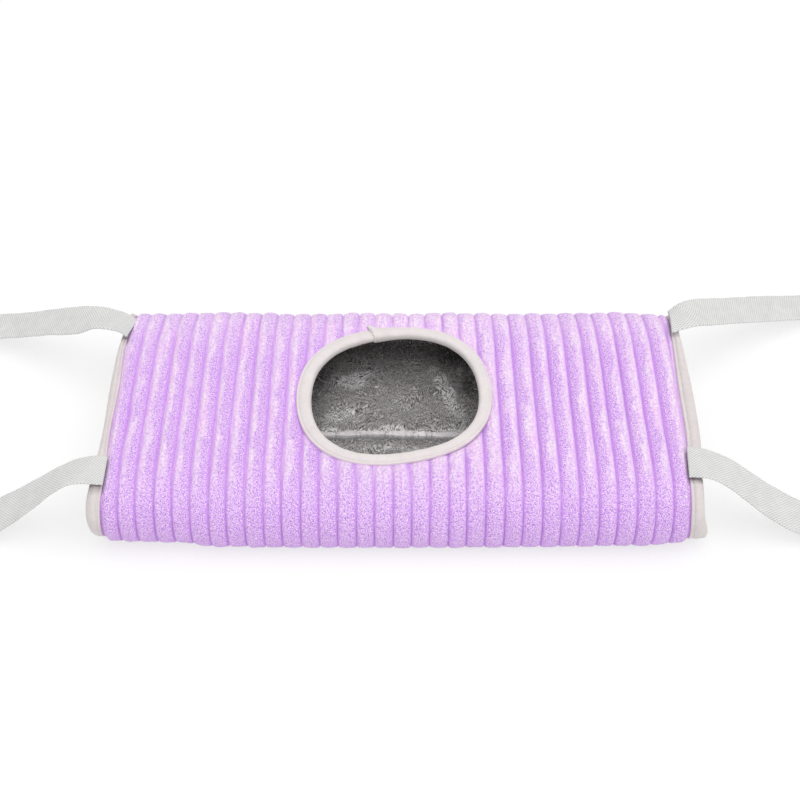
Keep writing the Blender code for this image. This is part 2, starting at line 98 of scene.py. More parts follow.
# Line where each end tape meets the ribs, and the tape's width beyond it, in millimetres, at
# travels counted in millimetres from the middle of the top
END_TRAVEL_MM = (-173.4, -105, -73, -54.5, -27, 10, 37, 60, 86.7, 173.4)
LEFT_LINE_MM = (-142.5, -143.5, -142.5, -141.5, -142.5, -142, -143, -141.5, -141, -142.5)
RIGHT_LINE_MM = (143, 144, 142.5, 142.5, 144.5, 145, 146, 147, 146.5, 143)
LEFT_WIDTH_MM = (7, 6.5, 7.5, 7, 4.5, 5.5, 4, 4, 5.5, 7)
RIGHT_WIDTH_MM = (7.5, 10, 7, 7, 7.5, 7.5, 6, 4.5, 5.5, 7.5)

# Window opening: mean radius and its slow waves, (cosine, sine) of 1, 2, 3 and 4 times the
# angle, in millimetres; and the tape's width round it
WINDOW_BACK = 0.0017
WINDOW_RADIUS = 0.0434
WINDOW_WAVES_MM = ((-0.6, 0.25), (0.42, 1.3), (0.19, -0.22), (-1.05, -0.55))
WINDOW_WIDTH = 0.0072
WINDOW_WIDTH_WAVES_MM = ((-0.45, 0.35),)
WINDOW_JOIN_DEG = 106.0
WINDOW_OVERLAP_DEG = 9.0
# How far outside the opening the layers are cut, hidden under the tape
WINDOW_CUT = 0.0024

# Lift of the layers along the front's lower edge, at places from the left to the right
LOW_FRONT_X = (-0.150, -0.141, -0.125, -0.104, -0.090, -0.06, 0.0, 0.06, 0.10, 0.125, 0.141, 0.150)
LOW_FRONT_LIFT = (
    0.0016, 0.0011, 0.0006, 0.0004, -0.0016, -0.0020, -0.0022, -0.0019, -0.0014, -0.0010,
    0.0000, 0.0010,
)

# Swelling of the padding: its grid, depth, air pressure, and how far a point may move
SWELL_ROWS = 72
SWELL_COLUMNS = 61
SWELL_HALF = 0.1425
SWELL_DEPTH = 0.0045
SWELL_PRESSURE = 1.0
SWELL_FRAMES = 20
SWELL_LIMIT = 0.0016
SWELL_SINK = 0.0004

# Display colour of the shade beside a strap's seam
SEAM_SHADE = (112, 104, 108)

# Lining's seam ridge, across the tunnel's floor
SEAM_BACK = 0.003

# Straps: the part's own routes (side, share of the flat half at the root, heading, then
# pitches and rolls in degrees at equal steps from the root to the fold)
STRAP_ROUTES = {
    "front_left": (
        -1, -0.98, -2,
        (14, -20, -38, -39, -36, -35, -28, -17, -5, 0, 0, 0, 0),
        (0, -7, -6, -2, 3, 8, 12, 12, 8, 4, 1, 0, 0),
    ),
    "front_right": (
        1, -0.88, -8,
        (8, -22, -35, -38, -37, -31, -23, -15, -8, -4, -1, 0, 0),
        (0, -4, 0, 3, 6, 8, 8, 7, 5, 3, 1, 0, 0),
    ),
    "rear_left": (
        -1, 0.94, 23,
        (10, -12, -22, -25, -26, -26, -25, -22, -20, -18, -13, -4, 0),
        (-6, -7, -1, 3, 6, 8, 7, 6, 5, 3, 1, 0, 0),
    ),
    "rear_right": (
        1, 1.02, 29,
        (6, -12, -21, -25, -23, -21, -20, -22, -23, -22, -17, -6, 0),
        (-6, -6, -1, 2, 5, 7, 8, 8, 7, 5, 2, 0, 0),
    ),
}
STRAP_RUN = 0.136
STRAP_RETURN = 0.018
ROOT_X = 0.1443
ROOT_HEIGHT = 0.0422
RUN_END_HEIGHT = 0.0023
EYE_HEIGHT = 0.0032
LOOP_RADIUS = 0.0024
FOLD_SLOPE_DEG = 20.0

# Curves


def through(knots, values, at):
    """Smooth curve through knots: a cubic between two neighbours, whose slope at each knot
    is that of the line joining the knots beside it."""
    knots = np.asarray(knots, float)
    values = np.asarray(values, float)
    slopes = np.gradient(values, knots, axis=0)
    low = np.clip(np.searchsorted(knots, at, side="right") - 1, 0, len(knots) - 2)
    span = knots[low + 1] - knots[low]
    share = np.clip((np.asarray(at) - knots[low]) / span, 0, 1)
    if values.ndim > 1:
        span, share = span[..., None], share[..., None]
    rest = 1 - share
    return (
        values[low] * (1 + 2 * share) * rest**2
        + slopes[low] * span * share * rest**2
        + values[low + 1] * share**2 * (3 - 2 * share)
        - slopes[low + 1] * span * share**2 * rest
    )


def ease(value, start, end):
    """0 before start, 1 after end, and 3s² - 2s³ of the share s between them."""
    share = np.clip((value - start) / (end - start), 0, 1)
    return share * share * (3 - 2 * share)


def ripple(x, y, size, seed, count=7):
    """Soft uneven relief from -1 to 1: the mean of sine waves of unlike headings and lengths
    about the given size, times the square root of twice their count."""
    turn = np.random.default_rng(seed)
    total = 0.0
    for heading, phase, stretch in turn.random((count, 3)):
        angle = heading * math.tau
        length = size * (0.7 + 0.7 * stretch)
        along = (x * math.cos(angle) + y * math.sin(angle)) * math.tau / length
        total = total + np.sin(along + phase * math.tau)
    return total * math.sqrt(2 / count)


# Ring section


def ring_place(x, travel, depth):
    """Points of the ring. The centre slides along the flats and stays at their ends while
    the angle turns half round; the point is the centre plus the radius less the depth."""
    knots = (0, FRONT_LOW, FRONT_HIGH, BACK_HIGH, BACK_LOW, RING_LENGTH)
    travel = np.mod(travel, RING_LENGTH)
    centre = np.interp(travel, knots, (0, -FLAT_HALF, -FLAT_HALF, FLAT_HALF, FLAT_HALF, 0))
    angle = np.interp(travel, knots, np.radians((-90, -90, -270, -270, -450, -450)))
    radius = ARC_RADIUS - depth
    y = centre + radius * np.cos(angle)
    z = np.maximum(ARC_RADIUS + radius * np.sin(angle), 0.0)
    return np.stack(np.broadcast_arrays(x, y, z), axis=-1)


def end_value(table_mm, travel):
    """A table of millimetres read round the ring, in metres."""
    knots = np.array(END_TRAVEL_MM) / 1000 + TOP_MIDDLE
    knots[0], knots[-1] = 0.0, RING_LENGTH
    return through(knots, np.array(table_mm) / 1000, np.mod(travel, RING_LENGTH))


def groove_line(index, travel):
    """x of a groove: even spacing plus its own drift, eased from the front to the back."""
    index = np.asarray(index, float)
    across = index / RIB_COUNT
    waver = GROOVE_WAVER * np.sin(WAVER_TURN * index)
    front = np.interp(across, DRIFT_SHARES, FRONT_DRIFT) + waver
    back = np.interp(across, DRIFT_SHARES, BACK_DRIFT) + waver
    travel = np.mod(travel, RING_LENGTH)
    knots = (0, FRONT_LOW, FRONT_HIGH - 0.01, BACK_HIGH + 0.01, BACK_LOW, RING_LENGTH)
    share = np.interp(travel, knots, (0.5, 0, 0, 1, 1, 0.5))
    even = (index - RIB_COUNT / 2) * RIB_PITCH
    drawn = BACK_DRAW * ease(travel, BACK_HIGH - 0.014, BACK_HIGH + 0.014)
    drawn = drawn * (1 - ease(travel, BACK_LOW - 0.01, BACK_LOW + 0.02))
    return even * (1 - drawn) + front * (1 - share) + back * share


def opening_radius(angle):
    """Radius of the window's opening: the mean plus slow waves of the angle."""
    radius = np.full_like(angle, WINDOW_RADIUS)
    for order, (cosine, sine) in enumerate(WINDOW_WAVES_MM, 1):
        radius += (cosine * np.cos(order * angle) + sine * np.sin(order * angle)) / 1000
    return radius


def window_tape_width(angle):
    """Width of the window's tape: its mean plus one slow wave of the angle."""
    cosine, sine = WINDOW_WIDTH_WAVES_MM[0]
    return WINDOW_WIDTH + (cosine * np.cos(angle) + sine * np.sin(angle)) / 1000


def from_opening(x, travel):
    """Distance outside the opening's edge, read on the unrolled top."""
    across = np.asarray(travel) - TOP_MIDDLE - WINDOW_BACK
    angle = np.arctan2(across, x)
    return np.hypot(x, across) - opening_radius(angle)


@functools.lru_cache(maxsize=1)
def swelling():
    """How far the padding swells, on a coarse grid of travel and x. Air presses out a thin
    sheet at the padding's depth, held at both end tapes, round the window and where it lies
    on the floor; each point's move is read along its normal and limited."""
    travel = np.linspace(0, RING_LENGTH, SWELL_ROWS, endpoint=False)
    x, travel = np.meshgrid(np.linspace(-SWELL_HALF, SWELL_HALF, SWELL_COLUMNS), travel)
    rest = ring_place(x, travel, SWELL_DEPTH)
    outward = (ring_place(x, travel, 0.0) - rest) / SWELL_DEPTH
    trial = add_mesh("swelling_trial", rest, grid_faces(SWELL_ROWS, SWELL_COLUMNS, True))
    underside = np.minimum(travel, RING_LENGTH - travel) < FLAT_HALF - 0.004
    near_window = from_opening(x, travel) < WINDOW_WIDTH + 0.001
    held = underside | near_window | (np.abs(x) > SWELL_HALF - 0.004)
    group = trial.vertex_groups.new(name="held")
    group.add(np.flatnonzero(held).tolist(), 1.0, "REPLACE")
    cloth = trial.modifiers.new("swell", "CLOTH")
    cloth.settings.vertex_group_mass = "held"
    cloth.settings.quality = 6
    cloth.settings.tension_stiffness = 25.0
    cloth.settings.compression_stiffness = 25.0
    cloth.settings.bending_stiffness = 2.0
    cloth.settings.use_pressure = True
    cloth.settings.uniform_pressure_force = SWELL_PRESSURE
    cloth.settings.effector_weights.gravity = 0.0
    cloth.point_cache.frame_end = SWELL_FRAMES
    scene = bpy.context.scene
    for number in range(1, SWELL_FRAMES + 1):
        scene.frame_set(number)
    result = trial.evaluated_get(bpy.context.evaluated_depsgraph_get()).data
    moved = np.empty(rest.size, np.float32)
    result.vertices.foreach_get("co", moved)
    mesh = trial.data
    bpy.data.objects.remove(trial)
    bpy.data.meshes.remove(mesh)
    scene.frame_set(1)
    move = ((moved.reshape(rest.shape) - rest) * outward).sum(axis=-1)
    return np.clip(move, -SWELL_LIMIT, SWELL_LIMIT)


def swelling_at(x, travel):
    """The coarse swelling read anywhere: each point is the sum of the sixteen grid values
    round it, weighted by cubic B-splines both ways."""
    grid = swelling()
    row = np.mod(travel, RING_LENGTH) / RING_LENGTH * SWELL_ROWS
    column = (np.clip(x, -SWELL_HALF, SWELL_HALF) / SWELL_HALF + 1) / 2 * (SWELL_COLUMNS - 1)
    row, column = np.broadcast_arrays(row, column)
    total = np.zeros(row.shape)
    for step_row in range(-1, 3):
        for step_column in range(-1, 3):
            at_row = np.floor(row).astype(int) + step_row
            at_column = np.floor(column).astype(int) + step_column
            weight = spline_weight(row - at_row) * spline_weight(column - at_column)
            picked = grid[at_row % SWELL_ROWS, np.clip(at_column, 0, SWELL_COLUMNS - 1)]
            total += weight * picked
    return total


def spline_weight(distance):
    """Cubic B-spline: 2/3 - d² + d³/2 up to 1, then (2 - d)³ / 6 up to 2."""
    distance = np.abs(distance)
    near = 2 / 3 - distance**2 + distance**3 / 2
    return np.where(distance < 1, near, np.clip(2 - distance, 0, None) ** 3 / 6)


def settle(x, travel):
    """How far the layers lie inside the plain ring: drawn in near both end tapes, lifted
    along the front's lower edge by a slow profile of x, and softly uneven on top."""
    ends = np.exp(-(0.1425 - np.minimum(np.abs(x), 0.1425)) / 0.013)
    low_front = np.exp(-(((travel - FRONT_LOW - 0.016) / 0.024) ** 2))
    top = np.exp(-(((travel - TOP_MIDDLE) / 0.06) ** 4))
    lift = np.interp(x, LOW_FRONT_X, LOW_FRONT_LIFT)
    past = ease(np.abs(x), 0.139, 0.148) * np.where(x < 0, 0.0019, 0.0012)
    inward = (lift + past) * low_front + 0.0006 * ends * (1 - top)
    inward += 0.00025 * ripple(x, travel, 0.045, 4) * (1 - low_front)
    return inward + SWELL_SINK * top - swelling_at(x, travel)


def strap_dent(x, travel):
    """1 under a strap's root and 0 beside it."""
    dent = 0.0
    for side, root_share, *_ in STRAP_ROUTES.values():
        across = np.abs(travel - TOP_MIDDLE - root_share * FLAT_HALF)
        under = 1 - ease(across, 0.0095, 0.0125)
        dent = np.maximum(dent, under * (np.sign(x) == side))
    return dent


# Meshes


def grid_faces(rows, columns, wrap_rows=False, wrap_columns=False):
    """Corner numbers of a grid's quads, for faces that look along column times row."""
    row = np.arange(rows if wrap_rows else rows - 1)[:, None]
    column = np.arange(columns if wrap_columns else columns - 1)[None, :]
    next_row, next_column = (row + 1) % rows, (column + 1) % columns
    corners = (
        row * columns + column,
        row * columns + next_column,
        next_row * columns + next_column,
        next_row * columns + column,
    )
    return np.stack(np.broadcast_arrays(*corners), axis=-1).reshape(-1, 4)


def rim_faces(faces, offset):
    """Quads that join each edge used once to its copy, whose corners are offset further on."""
    pairs = np.stack([faces, np.roll(faces, -1, axis=1)], axis=-1).reshape(-1, 2)
    ordered = np.sort(pairs, axis=1)
    _, inverse, counts = np.unique(ordered, axis=0, return_inverse=True, return_counts=True)
    open_pairs = pairs[counts[inverse.reshape(-1)] == 1]
    first, last = open_pairs[:, 0], open_pairs[:, 1]
    return np.stack([last, first, first + offset, last + offset], axis=-1)


def add_mesh(name, points, faces, attributes=None):
    """A smooth mesh object from points and quads or triangles, without unused points."""
    width = faces.shape[-1]
    used, faces = np.unique(faces, return_inverse=True)
    faces = faces.reshape(-1, width)
    points = np.asarray(points, float).reshape(-1, 3)[used]
    mesh = bpy.data.meshes.new(name)
    mesh.vertices.add(len(points))
    mesh.vertices.foreach_set("co", points.astype(np.float32).ravel())
    mesh.loops.add(faces.size)
    mesh.loops.foreach_set("vertex_index", faces.astype(np.int32).ravel())
    mesh.polygons.add(len(faces))
    mesh.polygons.foreach_set("loop_start", np.arange(0, faces.size, width, dtype=np.int32))
    mesh.update(calc_edges=True)
    mesh.shade_smooth()
    for label, values in (attributes or {}).items():
        values = np.asarray(values, np.float32)
        values = values.reshape(-1, values.shape[-1] if label == "surface" else 1)[used]
        if label == "surface":
            layer = mesh.uv_layers.new(name="surface")
            layer.data.foreach_set("uv", values[faces.ravel()].ravel())
        else:
            attribute = mesh.attributes.new(label, "FLOAT", "POINT")
            attribute.data.foreach_set("value", values.ravel())
    mesh.validate()
    item = bpy.data.objects.new(name, mesh)
    bpy.context.scene.collection.objects.link(item)
    return item


def finish_piece(item, material, body, stands_for=()):
    item.data.materials.append(material)
    if body:
        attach(item, body)
    if stands_for:
        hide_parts(*stands_for)
    return item


def layer_shell(name, x, travel, outer_depth, inner_depth, keep, attributes):
    """A closed layer: its outer and inner surfaces on one grid, and a rim joining them round
    both ends and the window. Faces whose middle isn't kept are left out."""
    outer = ring_place(x, travel, outer_depth)
    inner = ring_place(x, travel, inner_depth)
    rows, columns = x.shape
    faces = grid_faces(rows, columns, wrap_rows=True)
    kept = keep.ravel()[faces].all(axis=1)
    faces = faces[kept]
    count = rows * columns
    everything = np.concatenate([faces, faces[:, ::-1] + count, rim_faces(faces, count)])
    points = np.concatenate([outer.reshape(-1, 3), inner.reshape(-1, 3)])
    doubled = {}
    for label, values in attributes.items():
        flat = values.reshape(count, -1)
        doubled[label] = np.concatenate([flat, flat])
    return add_mesh(name, points, everything, doubled)


def carried(name, points, closed_path, unrolled, attributes=None):
    """A profile carried along a path: rows are places on the path, columns are the profile's
    points, and the ends of an open path are closed by triangles to their middles."""
    rows, columns = points.shape[:2]
    quads = grid_faces(rows, columns, wrap_rows=closed_path, wrap_columns=True)
    triangles = np.concatenate([quads[:, [0, 1, 2]], quads[:, [0, 2, 3]]])
    flat = points.reshape(-1, 3)
    surface = unrolled.reshape(-1, 2)
    if not closed_path:
        middles = points[[0, -1]].mean(axis=1)
        flat = np.concatenate([flat, middles])
        surface = np.concatenate([surface, unrolled[[0, -1]].mean(axis=1)])
        column = np.arange(columns)
        after = (column + 1) % columns
        first = np.full(columns, rows * columns)
        last_row = (rows - 1) * columns
        start = np.stack([first, after, column], axis=-1)
        end = np.stack([first + 1, last_row + column, last_row + after], axis=-1)
        triangles = np.concatenate([triangles, start, end])
    return add_mesh(name, flat, triangles, {"surface": surface, **(attributes or {})})


def smooth_outline(points, per_span):
    """An outline through chosen points, each span cut into equal shares of a smooth curve."""
    points = np.asarray(points, float)
    knots = np.arange(len(points))
    at = np.linspace(0, len(points) - 1, (len(points) - 1) * per_span + 1)
    return through(knots, points, at)


# Materials


class Shading:
    """Builds one node tree: add makes a node with its settings and inputs by name."""

    def __init__(self, tree):
        self.tree = tree

    def add(self, kind, inputs=None, **settings):
        node = self.tree.nodes.new("ShaderNode" + kind)
        for name, value in settings.items():
            setattr(node, name, value)
        for name, value in (inputs or {}).items():
            self.put(node.inputs[name], value)
        return node

    def link(self, start, end):
        self.tree.links.new(start, end)

    def put(self, socket, value):
        """Links another node's output to the socket, or sets a plain value on it."""
        if isinstance(value, bpy.types.NodeSocket):
            self.link(value, socket)
        else:
            socket.default_value = value

    def surface(self):
        return self.add("UVMap", uv_map="surface").outputs[0]

    def painted(self, name):
        return self.add("Attribute", attribute_name=name).outputs["Fac"]

    def times(self, first, second):
        return self.math("MULTIPLY", first, second)

    def math(self, operation, first, second=0.0, third=0.0):
        return self.add("Math", {0: first, 1: second, 2: third}, operation=operation).outputs[0]

    def scaled(self, vector, scale):
        node = self.add("Mapping", {"Vector": vector, "Scale": scale})
        return node.outputs[0]

    def noise(self, vector, scale, detail=2.0, roughness=0.5):
        inputs = {"Vector": vector, "Scale": scale, "Detail": detail, "Roughness": roughness}
        return self.add("TexNoise", inputs).outputs["Fac"]

    def spread(self, value, low, high, to_low=0.0, to_high=1.0):
        inputs = {"Value": value, 1: low, 2: high, 3: to_low, 4: to_high}
        return self.add("MapRange", inputs, interpolation_type="SMOOTHSTEP").outputs[0]

    def mix(self, share, first, second, blend="MIX"):
        node = self.add("Mix", data_type="RGBA", blend_type=blend)
        for number, value in ((0, share), (6, first), (7, second)):
            self.put(node.inputs[number], value)
        return node.outputs[2]

    def group(self, tree, inputs):
        node = self.add("Group")
        node.node_tree = tree
        for name, value in inputs.items():
            self.put(node.inputs[name], value)
        return node.outputs


def srgb(red, green, blue):
    """Linear colour of an 8-bit display colour: above 10, ((c/255 + 0.055) / 1.055)^2.4."""
    share = np.array((red, green, blue)) / 255
    linear = np.where(share <= 0.04045, share / 12.92, ((share + 0.055) / 1.055) ** 2.4)
    return (*linear.tolist(), 1.0)


def new_group(name, inputs, outputs):
    """An empty node group with float or vector inputs and float outputs."""
    tree = bpy.data.node_groups.new(name, "ShaderNodeTree")
    for label, kind, value in inputs:
        socket = tree.interface.new_socket(name=label, in_out="INPUT", socket_type=kind)
        if kind == "NodeSocketFloat":
            socket.default_value = value
    for label in outputs:
        tree.interface.new_socket(name=label, in_out="OUTPUT", socket_type="NodeSocketFloat")
    shading = Shading(tree)
    start = tree.nodes.new("NodeGroupInput")
    end = tree.nodes.new("NodeGroupOutput")
    return tree, shading, start.outputs, end.inputs


def pile_group():
    """Tufted pile: clumps drawn out along the second coordinate, fine fibres, and slow
    clouds where the nap lies another way."""
    inputs = (
        ("Vector", "NodeSocketVector", None),
        ("Tufts per metre", "NodeSocketFloat", 800.0),
        ("Stretch", "NodeSocketFloat", 0.4),
    )
    tree, shading, given, results = new_group("pile", inputs, ("Height", "Speck", "Cloud"))
    combine = shading.add("CombineXYZ", {"X": 1.0, "Y": given["Stretch"], "Z": 1.0})
    drawn = shading.add("VectorMath", {0: given["Vector"], 1: combine.outputs[0]}, operation="MULTIPLY")
    vector = drawn.outputs[0]
    tufts = shading.noise(vector, given["Tufts per metre"], 2.0, 0.6)
    double = shading.times(given["Tufts per metre"], 2.6)
    fibres = shading.noise(vector, double, 1.0, 0.5)
    slow = shading.times(given["Tufts per metre"], 0.07)
    clouds = shading.noise(vector, slow, 3.0, 0.55)
    tuft_height = shading.spread(tufts, 0.30, 0.70)
    part = shading.times(fibres, 0.4)
    height = shading.math("MULTIPLY_ADD", tuft_height, 0.6, part)
    shading.link(height, results["Height"])
    shading.link(shading.spread(fibres, 0.32, 0.68), results["Speck"])
    shading.link(shading.spread(clouds, 0.35, 0.65), results["Cloud"])
    return tree


def weave_group():
    """Plain weave: threads along and across, each the positive half of a sine, with the
    upper one chosen in turn, and slow unevenness in their height."""
    inputs = (
        ("Vector", "NodeSocketVector", None),
        ("Threads per metre", "NodeSocketFloat", 2200.0),
        ("Warp share", "NodeSocketFloat", 0.5),
    )
    tree, shading, given, results = new_group("weave", inputs, ("Height", "Slub"))
    split = shading.add("SeparateXYZ", {0: given["Vector"]})
    turns = shading.times(given["Threads per metre"], math.pi)
    across = shading.times(split.outputs["X"], turns)
    along = shading.times(split.outputs["Y"], turns)
    warp = shading.math("ABSOLUTE", shading.math("SINE", across))
    weft = shading.math("ABSOLUTE", shading.math("SINE", along))
    turn = shading.times(shading.math("SINE", across), shading.math("SINE", along))
    over = shading.spread(turn, -0.2, 0.2)
    both = shading.add("Mix", {0: over, 2: warp, 3: weft}, data_type="FLOAT")
    lines = shading.add(
        "Mix", {0: given["Warp share"], 2: both.outputs[0], 3: warp}, data_type="FLOAT"
    )
    slow = shading.times(given["Threads per metre"], 0.22)
    slub = shading.noise(given["Vector"], slow, 3.0, 0.6)
    shading.link(lines.outputs[0], results["Height"])
    shading.link(shading.spread(slub, 0.3, 0.7), results["Slub"])
    return tree


def start_material(name):
    material = bpy.data.materials.new(name)
    material.use_nodes = True
    shading = Shading(material.node_tree)
    return material, shading, material.node_tree.nodes["Principled BSDF"]


def set_constants(shader, values):
    for name, value in values.items():
        shader.inputs[name].default_value = value


def set_bump(shading, shader, height, strength, distance):
    bump = shading.add("Bump", {"Strength": strength, "Distance": distance, "Height": height})
    shading.link(bump.outputs[0], shader.inputs["Normal"])


def corduroy_material(groups, settings):
    """Lilac pile, with painted sheen and shade. On top each rib's outer half is painted pale and
    streaky, as sheen, and its inner half deeper and specked, as shade; the halves swap at the
    window's middle line, and the rear rows are painted paler. Down the front the pile is
    painted deeper and is pebbled. Slow clouds turn it pinker or bluer. The grooves show the
    deeper backing with painted shade in them that deepens beside the tapes, and painted shade
    runs along the ribs' edge at each strap's root."""
    material, shading, shader = start_material("lilac_corduroy")
    surface = shading.surface()
    curl = shading.add("TexNoise", {"Vector": surface, "Scale": 500.0, "Detail": 1.0})
    moved = shading.add(
        "VectorMath", {0: curl.outputs["Color"], 1: (0.0015, 0.0015, 0.0)}, operation="MULTIPLY"
    )
    curled = shading.add("VectorMath", {0: surface, 1: moved.outputs[0]}, operation="ADD")
    pile = shading.group(
        groups["pile"],
        {"Vector": curled.outputs[0], "Tufts per metre": 800.0, "Stretch": 0.7},
    )
    rib, side, front_shade, sheen_split, shadow = (
        shading.painted(name)
        for name in ("rib", "sheen_side", "front_shade", "sheen_split", "shadow")
    )
    # Painted sheen and shade: on top each rib's outer half is painted pale and its inner half in the
    # deeper colour, the pile down the front is painted deeper, and the rear rows are painted paler.
    long_wave = shading.noise(shading.scaled(surface, (130.0, 45.0, 1.0)), 1.0, 3.0, 0.6)
    wander = shading.times(shading.math("SUBTRACT", long_wave, 0.5), 1.3)
    shaded_side = shading.spread(shading.math("ADD", side, wander), 0.28, 0.58, 0.0, 1.0)
    front_shaded = shading.times(front_shade, 0.84)
    share = shading.math("MAXIMUM", sheen_split, shading.times(front_shade, 0.20))
    shade_share = shading.math("ADD", shading.times(shaded_side, share), front_shaded)
    pale = shading.mix(pile["Cloud"], settings.cool_colour, settings.warm_colour)
    streaked = shading.scaled(surface, (620.0, 55.0, 1.0))
    streaks = shading.spread(shading.noise(streaked, 1.0, 4.0, 0.7), 0.38, 0.62)
    lit = shading.mix(streaks, pale, settings.light_colour)
    toned = shading.mix(shade_share, lit, settings.shade_pile_colour)
    crowned = shading.spread(rib, 0.45, 0.90, 0.35, 1.0)
    pebbled = shading.times(shading.spread(shade_share, 0.0, 0.6, 0.55, 1.0), crowned)
    dark = shading.spread(pile["Height"], 0.26, 0.60, 0.74, 0.0)
    specked = shading.mix(shading.times(dark, pebbled), toned, settings.speck_colour)
    bright = shading.spread(pile["Speck"], 0.42, 0.80, 0.0, 0.80)
    tipped = shading.mix(
        shading.times(bright, pebbled), specked, settings.light_colour
    )
    # Painted shade in the grooves: the groove colour is partly the backing that shows there and partly
    # painted shade, deeper beside the tapes, where the rib value is lowered.
    depth = shading.spread(rib, 0.05, 0.85, 0.48, 0.0)
    parted = shading.noise(shading.scaled(surface, (60.0, 14.0, 1.0)), 1.0, 2.0, 0.5)
    depth = shading.times(depth, shading.spread(parted, 0.35, 0.65, 0.6, 1.25))
    colour = shading.mix(depth, tipped, settings.groove_colour)
    shaded = shading.mix(shading.times(shadow, 0.9), colour, settings.root_colour)
    shading.link(shaded, shader.inputs["Base Color"])
    set_constants(shader, {
        "Roughness": 0.95,
        "Specular IOR Level": 0.1,
        "Sheen Weight": 0.3,
        "Sheen Roughness": 0.38,
        "Sheen Tint": (0.96, 0.90, 1.0, 1.0),
    })
    set_bump(shading, shader, pile["Height"], 0.8, 0.0009)
    return material


def plush_material(groups, settings):
    """Dark grey plush of soft swirled fibres with painted glints. Where it was brushed one way
    it is paler and where it was brushed the other way it is darker; most of the darker places
    are painted shade inside the tunnel, along the back under the window's rim, at its sides
    and in a narrow band in front of the seam ridge. The joined edge along the ridge shows its
    pale backing."""
    material, shading, shader = start_material("grey_plush")
    surface = shading.surface()
    bend = shading.add("TexNoise", {"Vector": surface, "Scale": 60.0, "Detail": 2.0})
    shift = shading.add(
        "VectorMath", {0: bend.outputs["Color"], 1: (0.02, 0.02, 0.0)}, operation="MULTIPLY"
    )
    bent = shading.add(
        "VectorMath", {0: surface, 1: shift.outputs[0]}, operation="ADD"
    ).outputs[0]
    pile = shading.group(
        groups["pile"], {"Vector": bent, "Tufts per metre": 1500.0, "Stretch": 0.5}
    )
    seam, brushed_and_shade = (
        shading.painted(name)
        for name in ("seam", "brushed_and_shade")
    )
    swirls = shading.add(
        "TexNoise",
        {"Vector": bent, "Scale": 300.0, "Detail": 5.0, "Roughness": 0.7, "Distortion": 0.4},
    ).outputs["Fac"]
    swirled = shading.spread(swirls, 0.30, 0.72)
    strand = shading.spread(pile["Height"], 0.20, 0.80)
    fine = shading.times(strand, 0.6)
    fur = shading.math("ADD", shading.times(swirled, 0.4), fine)
    base = shading.mix(fur, settings.lining_dark, settings.lining_colour)
    glints = shading.spread(pile["Speck"], 0.6, 1.0, 0.0, 0.3)
    tipped = shading.mix(glints, base, settings.lining_light)
    stroked = shading.times(shading.spread(brushed_and_shade, 0.0, 1.0), 2.2)
    pale = shading.times(stroked, shading.spread(fur, 0.15, 0.75))
    pale = shading.math("MINIMUM", pale, 0.9)
    swirl = shading.mix(pale, tipped, settings.lining_light)
    # Painted shade: negative values darken the plush towards the dark colour.
    turned = shading.spread(brushed_and_shade, 0.0, -1.0, 0.0, 0.75)
    shaded_swirl = shading.mix(turned, swirl, settings.lining_dark)
    frayed = shading.math("SUBTRACT", strand, 0.5)
    ragged = shading.math("ADD", seam, shading.times(frayed, 0.9))
    ridge_share = shading.spread(ragged, 0.28, 0.68)
    colour = shading.mix(ridge_share, shaded_swirl, settings.seam_colour)
    shading.link(colour, shader.inputs["Base Color"])
    set_constants(shader, {
        "Roughness": 0.9,
        "Specular IOR Level": 0.15,
        "Sheen Weight": 0.3,
        "Sheen Roughness": 0.4,
    })
    set_bump(shading, shader, fur, 0.8, 0.0013)
    return material


def tape_material(groups, name, colours, threads, turned, ribbed, contrast, uneven, relief):
    """Woven tape or webbing: threads in relief, along and across or turned by an angle,
    darker between them, slow unevenness in the dye, and shade beside a strap's seam."""
    colour, shade, dim = colours
    material, shading, shader = start_material(name)
    surface = shading.surface()
    laid = shading.add("Mapping", {"Vector": surface, "Rotation": (0.0, 0.0, turned)}).outputs[0]
    weave = shading.group(
        groups["weave"], {"Vector": laid, "Threads per metre": threads, "Warp share": ribbed}
    )
    clouds = shading.spread(shading.noise(surface, 90.0, 3.0, 0.6), 0.3, 0.7)
    dyed = shading.mix(shading.times(clouds, uneven), colour, shade)
    between = shading.spread(weave["Height"], 0.0, 0.8, contrast, 0.0)
    threaded = shading.mix(between, dyed, shade)
    uneven_thread = shading.mix(shading.times(weave["Slub"], uneven), threaded, shade)
    beside = shading.painted("shadow")
    final = shading.mix(shading.times(beside, 0.8), uneven_thread, dim)
    shading.link(final, shader.inputs["Base Color"])
    set_constants(shader, {
        "Roughness": 0.8,
        "Specular IOR Level": 0.2,
        "Sheen Weight": 0.15,
        "Sheen Roughness": 0.5,
    })
    mixed = shading.math("MULTIPLY_ADD", weave["Slub"], uneven, weave["Height"])
    set_bump(shading, shader, mixed, 0.5, relief)
    return material


def wadding_material():
    """Loose white fibre."""
    material, shading, shader = start_material("loose_wadding")
    place = shading.add("TexCoord").outputs["Object"]
    fibres = shading.noise(place, 900.0, 4.0, 0.7)
    toned = shading.mix(fibres, srgb(240, 240, 238), srgb(200, 202, 204))
    shading.link(toned, shader.inputs["Base Color"])
    shader.inputs["Roughness"].default_value = 0.95
    set_bump(shading, shader, fibres, 0.8, 0.0008)
    return material


